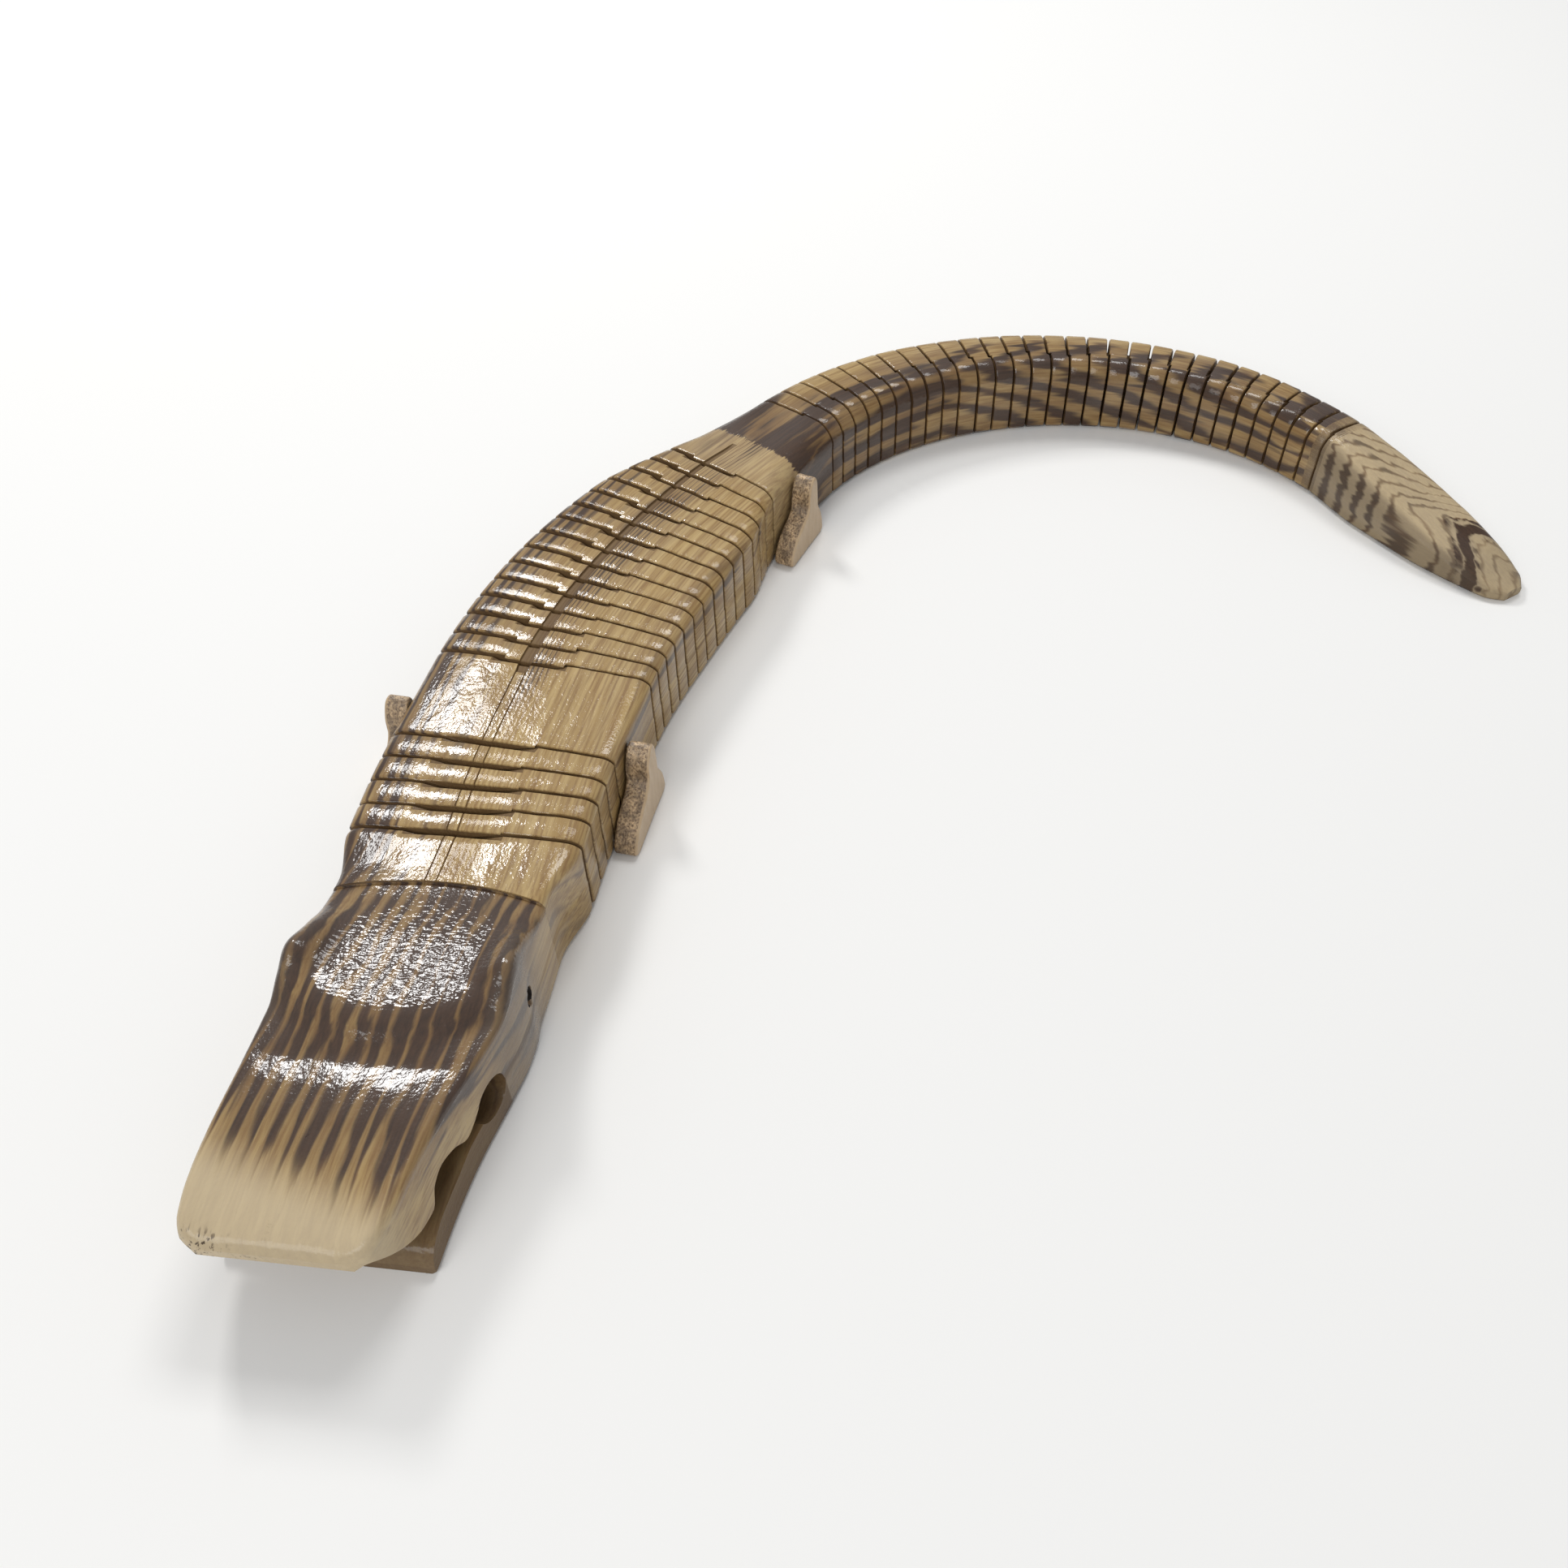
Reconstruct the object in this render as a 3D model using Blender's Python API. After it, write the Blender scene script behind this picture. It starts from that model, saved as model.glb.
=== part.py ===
"""A flexible wooden crocodile: one sawn softwood blank with four flat legs glued to its sides.

Metres, +Z up, underside on Z = 0, origin under the middle of the outline.  The head points
towards -Y and the tail curls round to +X.  The blank is a loft along a spine that turns only
at the saw kerfs, as the real one does.
"""

import math

import bmesh
import bpy
import numpy as np
from mathutils import Matrix, Vector

# Lengths along the spine, measured between the middles of the kerfs that end each stretch
HEAD_LENGTH = 0.118
CHEST_LENGTH = 0.0338
HIP_LENGTH = 0.0434
TAIL_TIP_LENGTH = 0.079
BROW_FROM_NECK = 0.046
NOSE_ROUNDING = 0.014
HEAD_AIM_DEG = 8.1

# Saw kerfs
KERF_WIDTH = 0.0016
FRONT_KERF_PITCH = 0.0083
REAR_KERF_PITCH = 0.0079
TAIL_KERF_PITCH = 0.0078
FRONT_KERFS = 5
REAR_KERFS = 15
TAIL_KERFS = 30

# Share of a kerf's width that the bend closes on the inner side, along each group of kerfs
FRONT_CLOSED_SHARES = (0.10, 0.50, 0.60)
REAR_CLOSED_SHARES = (0.85, 0.58, 0.41)
TAIL_CLOSED_SHARES = (0.78, 0.56, 0.465, 0.495, 0.53)

# The web that the kerfs leave, a little to the right of the middle of the blank
WEB_WIDTH = 0.0035
FRONT_WEB_OFFSET = 0.003
REAR_WEB_OFFSET = 0.0065
TAIL_WEB_OFFSET = 0.0035
WEB_TOP_DEPTH = 0.004
WEB_UNDER_DEPTH = 0.001

# Widths of the blank
NOSE_WIDTH = 0.040
SNOUT_WIDTH = 0.052
SADDLE_WIDTH = 0.0535
BROW_WIDTH = 0.058
NECK_WIDTH = 0.056
TRUNK_WIDTH = 0.068
LOIN_WIDTH = 0.0635
FLANK_WIDTH = 0.048
HIP_WIDTH = 0.041
TAIL_ROOT_WIDTH = 0.0352
TAIL_END_WIDTH = 0.0222
TIP_WIDTH = 0.0265

# Heights of the blank
NOSE_HEIGHT = 0.0275
SNOUT_HEIGHT = 0.0315
BROW_HEIGHT = 0.039
NECK_HEIGHT = 0.030
TRUNK_HEIGHT = 0.029
TAIL_END_HEIGHT = 0.0235
TIP_HEIGHT = 0.004
UNDER_EDGE = 0.0015

# How far the carver let the blank wander off the spine, to the right of the animal
SNOUT_SWAY = 0.0075
TRUNK_SWAY = -0.0017
TIP_SWAY = 0.005

# Open mouth, and the eyes drilled above it
MOUTH_CORNER_DIAMETER = 0.012
MOUTH_CORNER_FROM_BROW = 0.0225
MOUTH_CORNER_HEIGHT = 0.013
MOUTH_GAPE = 0.010
LOWER_JAW_SET_BACK = 0.011
LOWER_JAW_HEIGHT = 0.009
LIP_ROUNDING = 0.003
LIP_WAVE = 0.0015
EYE_DIAMETER = 0.005
EYE_DEPTH = 0.003
EYE_BEHIND_BROW = 0.0035
EYE_HEIGHT = 0.0185
CUT_MARGIN = 0.005

# Legs
LEG_THICKNESS = 0.007
GLUE_GAP = 0.0003
FRONT_FOOT_LENGTH = 0.027
REAR_FOOT_LENGTH = 0.0235
FRONT_LEFT_LEG_HEIGHT = 0.025
FRONT_RIGHT_LEG_HEIGHT = 0.0265
REAR_LEFT_LEG_HEIGHT = 0.026
REAR_RIGHT_LEG_HEIGHT = 0.017

# How far each heel stands behind the last kerf of the group in front of it
FRONT_LEFT_HEEL = 0.0175
FRONT_RIGHT_HEEL = 0.0205
REAR_HEEL = 0.0170

# Spacing of the rings of the loft, and of the places where a leg feels for the wall
RING_STEP = 0.005
WALL_STEP = 0.0005
WELD_DISTANCE = 0.00001

# Facets of the drilled holes and of each span of a leg's outline
HOLE_FACETS = 20
OUTLINE_FACETS = 3

HONEY = (0.52, 0.33, 0.14, 1.0)
BARK = (0.20, 0.12, 0.06, 1.0)

# Leg outline as shares of foot length and leg height, from the heel round by the toe
LEG_OUTLINE_SHARES = (
    (0.00, 0.00), (0.50, 0.00), (0.95, 0.00), (1.00, 0.12), (0.88, 0.30), (0.70, 0.42),
    (0.50, 0.52), (0.40, 0.64), (0.38, 0.82), (0.28, 0.98), (0.16, 0.96), (0.12, 0.74),
    (0.10, 0.52), (0.00, 0.34), (-0.05, 0.14),
)

# Upper edge of the mouth as shares: of the way from its corner to the nose, and of its gape
MOUTH_EDGE_SHARES = (
    (0.08, 0.80), (0.16, 0.55), (0.22, 0.45), (0.33, 0.85), (0.43, 1.00),
    (0.52, 0.85), (0.59, 0.42), (0.68, 0.52), (0.80, 0.85), (0.96, 1.60),
)


def smooth_through(places, values, at):
    """Curve through the given values that runs level wherever they turn back."""
    places = np.asarray(places, float)
    values = np.asarray(values, float)
    rise = np.diff(values) / np.diff(places)
    before, after = rise[:-1], rise[1:]
    turns_back = before * after <= 0
    total = np.where(turns_back, 1, before + after)
    middle = np.where(turns_back, 0, 2 * before * after / total)
    slope = np.concatenate([rise[:1], middle, rise[-1:]])
    k = np.clip(np.searchsorted(places, at) - 1, 0, len(rise) - 1)
    span = places[k + 1] - places[k]
    t = (at - places[k]) / span
    return (
        values[k] * (1 + 2 * t) * (1 - t) ** 2
        + values[k + 1] * t * t * (3 - 2 * t)
        + span * (slope[k] * t * (1 - t) ** 2 - slope[k + 1] * t * t * (1 - t))
    )


def kerf_groups():
    """First kerf, spacing, number, closed shares and web offset of each group, nose to tail."""
    front = HEAD_LENGTH
    rear = front + (FRONT_KERFS - 1) * FRONT_KERF_PITCH + CHEST_LENGTH
    tail = rear + (REAR_KERFS - 1) * REAR_KERF_PITCH + HIP_LENGTH
    return (
        (front, FRONT_KERF_PITCH, FRONT_KERFS, FRONT_CLOSED_SHARES, FRONT_WEB_OFFSET),
        (rear, REAR_KERF_PITCH, REAR_KERFS, REAR_CLOSED_SHARES, REAR_WEB_OFFSET),
        (tail, TAIL_KERF_PITCH, TAIL_KERFS, TAIL_CLOSED_SHARES, TAIL_WEB_OFFSET),
    )


def group_end(group):
    """Place of a group's last kerf."""
    first, pitch, count = group[:3]
    return first + (count - 1) * pitch


class Blank:
    """Outline of the blank: width, height and section at any place along it."""

    def __init__(self):
        front, rear, tail = kerf_groups()
        neck = front[0]
        brow = neck - BROW_FROM_NECK
        crown = neck - brow
        trunk = rear[0]
        flank = group_end(rear)
        back = flank - trunk
        hip = flank + 0.42 * HIP_LENGTH
        root = tail[0]
        end = group_end(tail)
        tip = end + TAIL_TIP_LENGTH
        self.length = tip
        self.neck = neck
        self.brow = brow
        # place, width, height, flat share of the top, drop of the shoulder as a share of height
        self.stations = np.array([
            (0.0, NOSE_WIDTH, NOSE_HEIGHT, 0.80, 0.12),
            (0.14 * NOSE_ROUNDING, 0.90 * SNOUT_WIDTH, 0.95 * SNOUT_HEIGHT, 0.84, 0.12),
            (0.43 * NOSE_ROUNDING, 0.96 * SNOUT_WIDTH, SNOUT_HEIGHT, 0.88, 0.11),
            (NOSE_ROUNDING, SNOUT_WIDTH, SNOUT_HEIGHT, 0.90, 0.10),
            (0.53 * brow, SADDLE_WIDTH, SNOUT_HEIGHT, 0.92, 0.07),
            (0.81 * brow, 0.98 * BROW_WIDTH, 0.98 * SNOUT_HEIGHT, 0.94, 0.06),
            (0.92 * brow, BROW_WIDTH, 0.90 * BROW_HEIGHT, 0.90, 0.10),
            (brow, BROW_WIDTH, BROW_HEIGHT, 0.84, 0.12),
            (brow + 0.17 * crown, 0.97 * BROW_WIDTH, 0.93 * BROW_HEIGHT, 0.84, 0.12),
            (brow + 0.39 * crown, 0.97 * BROW_WIDTH, 1.05 * NECK_HEIGHT, 0.88, 0.12),
            (brow + 0.59 * crown, NECK_WIDTH, NECK_HEIGHT, 0.90, 0.12),
            (neck, 0.95 * TRUNK_WIDTH, TRUNK_HEIGHT, 0.87, 0.14),
            (trunk, 0.985 * TRUNK_WIDTH, TRUNK_HEIGHT, 0.87, 0.14),
            (trunk + 0.35 * back, TRUNK_WIDTH, TRUNK_HEIGHT, 0.86, 0.15),
            (trunk + 0.75 * back, LOIN_WIDTH, TRUNK_HEIGHT, 0.83, 0.17),
            (flank, FLANK_WIDTH, TRUNK_HEIGHT, 0.80, 0.18),
            (hip, HIP_WIDTH, TRUNK_HEIGHT, 0.64, 0.24),
            (root, TAIL_ROOT_WIDTH, TRUNK_HEIGHT, 0.60, 0.29),
            (end, TAIL_END_WIDTH, TAIL_END_HEIGHT, 0.60, 0.29),
            (end + 0.30 * TAIL_TIP_LENGTH, TIP_WIDTH, 0.80 * TAIL_END_HEIGHT, 0.66, 0.30),
            (end + 0.56 * TAIL_TIP_LENGTH, TIP_WIDTH, 0.58 * TAIL_END_HEIGHT, 0.74, 0.30),
            (end + 0.78 * TAIL_TIP_LENGTH, 0.86 * TIP_WIDTH, 0.39 * TAIL_END_HEIGHT, 0.76, 0.30),
            (end + 0.94 * TAIL_TIP_LENGTH, 0.62 * TIP_WIDTH, 1.3 * TIP_HEIGHT, 0.76, 0.35),
            (tip, 0.30 * TIP_WIDTH, TIP_HEIGHT, 0.70, 0.40),
        ])
        self.sway_stations = np.array([
            (0.0, SNOUT_SWAY),
            (NOSE_ROUNDING, SNOUT_SWAY),
            (brow, 0.25 * SNOUT_SWAY),
            (neck, 0.0),
            (trunk + 0.5 * back, TRUNK_SWAY),
            (flank, TRUNK_SWAY),
            (0.5 * (root + end), 0.5 * TRUNK_SWAY),
            (end, 0.0),
            (tip, TIP_SWAY),
        ])

    def read(self, column, place):
        return float(smooth_through(self.stations[:, 0], self.stations[:, column], place))

    def half_width(self, place):
        return 0.5 * self.read(1, place)

    def sway(self, place):
        return float(smooth_through(self.sway_stations[:, 0], self.sway_stations[:, 1], place))

    def section(self, place):
        """Points round the section, from the middle of the underside by the left of travel."""
        half = self.half_width(place)
        top = self.read(2, place)
        flat = self.read(3, place) * half
        wall = top - self.read(4, place) * top
        edge = min(UNDER_EDGE, 0.3 * wall)
        side = [(half - edge, 0.0), (half, edge), (half, wall)]
        for turn in (30, 60):
            across = flat + (half - flat) * math.cos(math.radians(turn))
            up = wall + (top - wall) * math.sin(math.radians(turn))
            side.append((across, up))
        side.append((flat, top))
        mirrored = [(-across, up) for across, up in reversed(side)]
        return [(0.0, 0.0)] + side + [(0.0, top)] + mirrored

    def web(self, place, offset):
        """The same points drawn in to the web that a kerf leaves."""
        half = self.half_width(place)
        top = self.read(2, place)
        narrow = 0.5 * WEB_WIDTH / half
        low = (top - WEB_TOP_DEPTH - WEB_UNDER_DEPTH) / top
        return [
            (offset + across * narrow, WEB_UNDER_DEPTH + up * low)
            for across, up in self.section(place)
        ]


class Spine:
    """Line down the middle of the blank: straight blocks that turn at the kerfs."""

    def __init__(self, blank):
        self.blank = blank
        self.kerfs = []
        self.web_offsets = []
        heading = math.radians(90 - HEAD_AIM_DEG)
        point = Vector((0, 0, 0))
        place = 0.0
        self.starts = [(place, point, heading)]
        for first, pitch, count, closed, web_offset in kerf_groups():
            for k in range(count):
                kerf = first + k * pitch
                share = np.interp(k, np.linspace(0, max(count - 1, 1), len(closed)), closed)
                point = self.along(point, heading, kerf - place)
                heading -= share * KERF_WIDTH / blank.half_width(kerf)
                place = kerf
                self.kerfs.append(kerf)
                self.web_offsets.append(web_offset)
                self.starts.append((place, point, heading))

    @staticmethod
    def along(point, heading, distance):
        return point + Vector((math.cos(heading), math.sin(heading), 0)) * float(distance)

    def frame(self, place, block):
        """Point and heading at a place that belongs to the numbered block."""
        start, point, heading = self.starts[block]
        return self.along(point, heading, place - start), heading

    def block_at(self, place):
        return sum(1 for kerf in self.kerfs if kerf <= place)

    def world(self, place, block, across, up):
        point, heading = self.frame(place, block)
        across += self.blank.sway(place)
        left = Vector((-math.sin(heading), math.cos(heading), 0))
        return point + across * left + Vector((0, 0, up))


def block_places(spine, block):
    """Places of the full rings of one block, from kerf edge to kerf edge."""
    ends = [0.0] + spine.kerfs + [spine.blank.length]
    low = ends[block] + (0.5 * KERF_WIDTH if block > 0 else 0)
    high = ends[block + 1] - (0.5 * KERF_WIDTH if block < len(spine.kerfs) else 0)
    if block == 0:
        nose = [place for place in spine.blank.stations[:, 0] if place < NOSE_ROUNDING]
        rings = max(2, round((high - NOSE_ROUNDING) / RING_STEP))
        return nose + np.linspace(NOSE_ROUNDING, high, rings).tolist()
    if high - low < 2 * RING_STEP:
        return [low, high]
    return np.linspace(low, high, round((high - low) / RING_STEP) + 1).tolist()


def body_mesh(blank, spine):
    """Loft of the whole blank, stepping in to the web at each kerf and out again."""
    mesh = bmesh.new()
    rings = []
    last = len(spine.kerfs)
    for block in range(last + 1):
        places = block_places(spine, block)
        outlines = [(place, blank.section(place)) for place in places]
        if block > 0:
            web = blank.web(places[0], spine.web_offsets[block - 1])
            outlines.insert(0, (places[0], web))
        if block < last:
            web = blank.web(places[-1], spine.web_offsets[block])
            outlines.append((places[-1], web))
        for place, outline in outlines:
            points = [spine.world(place, block, across, up) for across, up in outline]
            rings.append([mesh.verts.new(point) for point in points])
    for ring, following in zip(rings, rings[1:]):
        for k in range(len(ring)):
            mesh.faces.new((ring[k - 1], ring[k], following[k], following[k - 1]))
    mesh.faces.new(rings[0])
    mesh.faces.new(list(reversed(rings[-1])))
    bmesh.ops.recalc_face_normals(mesh, faces=mesh.faces)
    data = bpy.data.meshes.new("body")
    mesh.to_mesh(data)
    mesh.free()
    return data


def material(name, colour, roughness):
    made = bpy.data.materials.new(name)
    made.use_nodes = True
    shader = made.node_tree.nodes["Principled BSDF"]
    shader.inputs["Base Color"].default_value = colour
    shader.inputs["Roughness"].default_value = roughness
    shader.inputs["Metallic"].default_value = 0.0
    return made


def link(data, name, collection, finish=None):
    made = bpy.data.objects.new(name, data)
    collection.objects.link(made)
    if finish:
        data.materials.append(finish)
    return made


def outline_curve(name, points, half_thickness, kind):
    """Flat closed outline given thickness on both sides of its plane."""
    curve = bpy.data.curves.new(name, "CURVE")
    curve.dimensions = "2D"
    curve.fill_mode = "BOTH"
    curve.extrude = half_thickness
    curve.resolution_u = OUTLINE_FACETS
    spline = curve.splines.new(kind)
    if kind == "BEZIER":
        spline.bezier_points.add(len(points) - 1)
        for knot, (x, y) in zip(spline.bezier_points, points):
            knot.co = (x, y, 0)
            knot.handle_left_type = "VECTOR" if y == 0 else "AUTO"
            knot.handle_right_type = knot.handle_left_type
    else:
        spline.points.add(len(points) - 1)
        for knot, (x, y) in zip(spline.points, points):
            knot.co = (x, y, 0, 1)
    spline.use_cyclic_u = True
    return curve


def upright_plane(origin, forward):
    """Matrix whose X is the given level direction and whose Y is up."""
    up = Vector((0, 0, 1))
    out = forward.cross(up)
    turned = Matrix((forward, up, out)).transposed().to_4x4()
    turned.translation = origin
    return turned


def make_cutter(data, name, collection):
    cutter = link(data, name, collection)
    cutter.hide_render = True
    cutter.display_type = "WIRE"
    return cutter


def curve_to_cutter(curve, name, matrix, collection):
    """Closed mesh of an outline curve, standing where the matrix puts it."""
    source = link(curve, name + "_outline", collection)
    source.matrix_world = matrix
    bpy.context.view_layer.update()
    evaluated = source.evaluated_get(bpy.context.evaluated_depsgraph_get())
    data = bpy.data.meshes.new_from_object(evaluated)
    welded = bmesh.new()
    welded.from_mesh(data)
    bmesh.ops.remove_doubles(welded, verts=welded.verts, dist=WELD_DISTANCE)
    bmesh.ops.recalc_face_normals(welded, faces=welded.faces)
    welded.to_mesh(data)
    welded.free()
    cutter = make_cutter(data, name, collection)
    cutter.matrix_world = matrix
    bpy.data.objects.remove(source)
    return cutter


def mouth_outline(length):
    """Side view of the open mouth, forward and up from the middle of its corner."""
    jaw_top = LOWER_JAW_HEIGHT - MOUTH_CORNER_HEIGHT
    jaw_end = length - LOWER_JAW_SET_BACK
    lip = jaw_top + LIP_WAVE
    beyond = length + CUT_MARGIN
    under = -MOUTH_CORNER_HEIGHT - CUT_MARGIN
    upper = [(ahead * length, jaw_top + above * MOUTH_GAPE) for ahead, above in MOUTH_EDGE_SHARES]
    lower = [
        (beyond, upper[-1][1] + CUT_MARGIN),
        (beyond, under),
        (jaw_end, under),
        (jaw_end, LIP_ROUNDING - MOUTH_CORNER_HEIGHT),
        (jaw_end - LIP_ROUNDING, jaw_top - LIP_WAVE),
        (jaw_end - 3 * LIP_ROUNDING, jaw_top),
        (MOUTH_CORNER_DIAMETER, lip),
        (MOUTH_CORNER_DIAMETER / 3, lip),
    ]
    return upper + lower


def head_cutters(spine, collection):
    """Mouth opening with its round corner, and the two eye holes."""
    blank = spine.blank
    made = []
    _, heading = spine.frame(0, 0)
    forward = -Vector((math.cos(heading), math.sin(heading), 0))
    reach = 0.5 * BROW_WIDTH + SNOUT_SWAY + CUT_MARGIN
    corner_place = blank.brow - MOUTH_CORNER_FROM_BROW
    corner = spine.world(corner_place, 0, 0, MOUTH_CORNER_HEIGHT)
    plane = upright_plane(corner, forward)
    opening = outline_curve("mouth", mouth_outline(corner_place), reach, "POLY")
    made.append(curve_to_cutter(opening, "mouth_opening", plane, collection))
    made.append(drill("mouth_corner", plane, MOUTH_CORNER_DIAMETER, 2 * reach, collection))
    eye_place = blank.brow + EYE_BEHIND_BROW
    for side, name in ((1, "eye_right_hole"), (-1, "eye_left_hole")):
        across = side * blank.half_width(eye_place)
        centre = spine.world(eye_place, 0, across, EYE_HEIGHT)
        plane = upright_plane(centre, forward)
        made.append(drill(name, plane, EYE_DIAMETER, 2 * EYE_DEPTH, collection))
    return made


def drill(name, plane, diameter, length, collection):
    """Round cutter across the head, its middle at the plane's origin."""
    mesh = bmesh.new()
    bmesh.ops.create_cone(
        mesh,
        cap_ends=True,
        segments=HOLE_FACETS,
        radius1=diameter / 2,
        radius2=diameter / 2,
        depth=length,
    )
    data = bpy.data.meshes.new(name)
    mesh.to_mesh(data)
    mesh.free()
    cutter = make_cutter(data, name, collection)
    cutter.matrix_world = plane
    return cutter


def make_body(blank, spine, collection, cutters):
    body = link(body_mesh(blank, spine), "body", collection, material("scorched pine", HONEY, 0.3))
    for cutter in head_cutters(spine, cutters):
        cut = body.modifiers.new(cutter.name, "BOOLEAN")
        cut.operation = "DIFFERENCE"
        cut.solver = "EXACT"
        cut.object = cutter
    return body


def wall_beside(spine, origin, forward, outwards, heel, foot):
    """How far the blank reaches outwards from the origin along the length of a foot."""
    reach = 0
    margin = 0.1 * foot
    for place in np.arange(heel - 2 * foot, heel + foot, WALL_STEP):
        half = spine.blank.half_width(place)
        for across in (-half, half):
            offset = spine.world(place, spine.block_at(place), across, 0) - origin
            if -margin < offset.dot(forward) < foot + margin:
                reach = max(reach, offset.dot(outwards))
    return reach


def make_leg(name, spine, side, heel, foot, height, finish, collection):
    """One leg along the wall, its sole on Z = 0 and a glue line between it and the wall."""
    origin, heading = spine.frame(heel, spine.block_at(heel))
    heading += math.pi + side * wall_taper(spine.blank, heel, foot)
    forward = Vector((math.cos(heading), math.sin(heading), 0))
    outwards = side * Vector((0, 0, 1)).cross(forward)
    wall = wall_beside(spine, origin, forward, outwards, heel, foot)
    centre = origin + (wall + GLUE_GAP + LEG_THICKNESS / 2) * outwards
    points = [(x * foot, y * height) for x, y in LEG_OUTLINE_SHARES]
    leg = link(outline_curve(name, points, LEG_THICKNESS / 2, "BEZIER"), name, collection, finish)
    leg.matrix_world = upright_plane(centre, forward)
    return leg


def wall_taper(blank, heel, foot):
    """Angle by which the wall beside a foot leans in towards the tail."""
    drop = blank.half_width(heel - foot) - blank.half_width(heel)
    return math.atan2(drop, foot)


def make_legs(spine, collection):
    front, rear, _ = kerf_groups()
    front_end = group_end(front)
    rear_end = group_end(rear)
    finish = material("leg wood", BARK, 0.7)
    left, right = 1, -1
    front_foot, rear_foot = FRONT_FOOT_LENGTH, REAR_FOOT_LENGTH
    legs = (
        ("leg_front_left", left, front_end + FRONT_LEFT_HEEL, front_foot, FRONT_LEFT_LEG_HEIGHT),
        ("leg_front_right", right, front_end + FRONT_RIGHT_HEEL, front_foot, FRONT_RIGHT_LEG_HEIGHT),
        ("leg_rear_left", left, rear_end + REAR_HEEL, rear_foot, REAR_LEFT_LEG_HEIGHT),
        ("leg_rear_right", right, rear_end + REAR_HEEL, rear_foot, REAR_RIGHT_LEG_HEIGHT),
    )
    return [
        make_leg(name, spine, side, heel, foot, height, finish, collection)
        for name, side, heel, foot, height in legs
    ]


def centre_on_floor(objects, followers):
    """Move everything so that the middle of the outline stands over the origin."""
    bpy.context.view_layer.update()
    corners = [item.matrix_world @ Vector(corner) for item in objects for corner in item.bound_box]
    low = Vector(map(min, zip(*corners)))
    high = Vector(map(max, zip(*corners)))
    shift = Matrix.Translation((-(low.x + high.x) / 2, -(low.y + high.y) / 2, -low.z))
    for item in (*objects, *followers):
        item.matrix_world = shift @ item.matrix_world


def main():
    for item in list(bpy.data.objects):
        bpy.data.objects.remove(item)
    collection = bpy.data.collections.new("crocodile sculpture")
    cutters = bpy.data.collections.new("cutters")
    bpy.context.scene.collection.children.link(collection)
    bpy.context.scene.collection.children.link(cutters)
    blank = Blank()
    spine = Spine(blank)
    body = make_body(blank, spine, collection, cutters)
    legs = make_legs(spine, collection)
    centre_on_floor([body, *legs], list(cutters.objects))


main()
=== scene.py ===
"""Looks of the flexible wooden crocodile: the sawn, scorched and varnished blank and its legs.

The blank is worked out in its own straight coordinates (place along it from the nose, across it
to the animal's right, up from the floor) and then laid along the spine, which turns at the kerfs.
"""

from functools import partial
import math

import bpy
import numpy as np
from mathutils import Matrix, Vector


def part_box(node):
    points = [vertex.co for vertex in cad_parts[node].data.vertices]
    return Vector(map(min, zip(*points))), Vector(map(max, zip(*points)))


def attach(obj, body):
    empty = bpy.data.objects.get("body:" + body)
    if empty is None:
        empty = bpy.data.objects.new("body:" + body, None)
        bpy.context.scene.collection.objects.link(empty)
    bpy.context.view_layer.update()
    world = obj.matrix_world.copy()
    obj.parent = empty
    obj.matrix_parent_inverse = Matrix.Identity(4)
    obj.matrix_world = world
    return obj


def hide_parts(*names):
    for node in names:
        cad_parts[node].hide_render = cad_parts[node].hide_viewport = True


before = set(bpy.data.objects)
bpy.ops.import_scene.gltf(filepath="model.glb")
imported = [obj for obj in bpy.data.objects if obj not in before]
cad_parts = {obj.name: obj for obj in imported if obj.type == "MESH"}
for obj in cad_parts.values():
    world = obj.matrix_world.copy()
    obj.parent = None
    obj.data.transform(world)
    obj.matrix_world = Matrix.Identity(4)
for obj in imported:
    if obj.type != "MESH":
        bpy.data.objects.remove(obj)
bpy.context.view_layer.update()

MM = 0.001

# Sizes of the blank, the same as the CAD model's, in metres
HEAD_LENGTH = 0.118
CHEST_LENGTH = 0.0338
HIP_LENGTH = 0.0434
TAIL_TIP_LENGTH = 0.079
BROW_FROM_NECK = 0.046
NOSE_ROUNDING = 0.014
HEAD_AIM_DEG = 8.1
KERF_WIDTH = 0.0016
GROUPS = (
    # spacing, number, closed shares and the web's place across for each group of kerfs
    (0.0083, 5, (0.10, 0.50, 0.60), 0.0030),
    (0.0079, 15, (0.85, 0.58, 0.41), 0.0065),
    (0.0078, 30, (0.78, 0.56, 0.465, 0.495, 0.53), 0.0035),
)
WEB_WIDTH = 0.0035
WEB_TOP_DEPTH = 0.004
WEB_UNDER_DEPTH = 0.001
UNDER_EDGE = 0.0015
MOUTH_CORNER_RADIUS = 0.006
MOUTH_CORNER_FROM_BROW = 0.0225
MOUTH_CORNER_HEIGHT = 0.013
MOUTH_GAPE = 0.010
LOWER_JAW_SET_BACK = 0.011
LOWER_JAW_HEIGHT = 0.009
EYE_BEHIND_BROW = 0.0035
EYE_RADIUS = 0.0026
EYE_HEIGHT = 0.0185
EYE_DEPTH = 0.003

# Places along the blank that part its regions
NECK = HEAD_LENGTH
BROW = NECK - BROW_FROM_NECK
TRUNK = NECK + 4 * GROUPS[0][0] + CHEST_LENGTH
FLANK = TRUNK + 14 * GROUPS[1][0]
ROOT = FLANK + HIP_LENGTH
TAIL_END = ROOT + 29 * GROUPS[2][0]
TIP = TAIL_END + TAIL_TIP_LENGTH
HIP_RIDGE = NECK + 0.1965
MOUTH_CORNER = BROW - MOUTH_CORNER_FROM_BROW
MOUTH_BACK = MOUTH_CORNER + MOUTH_CORNER_RADIUS


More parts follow.
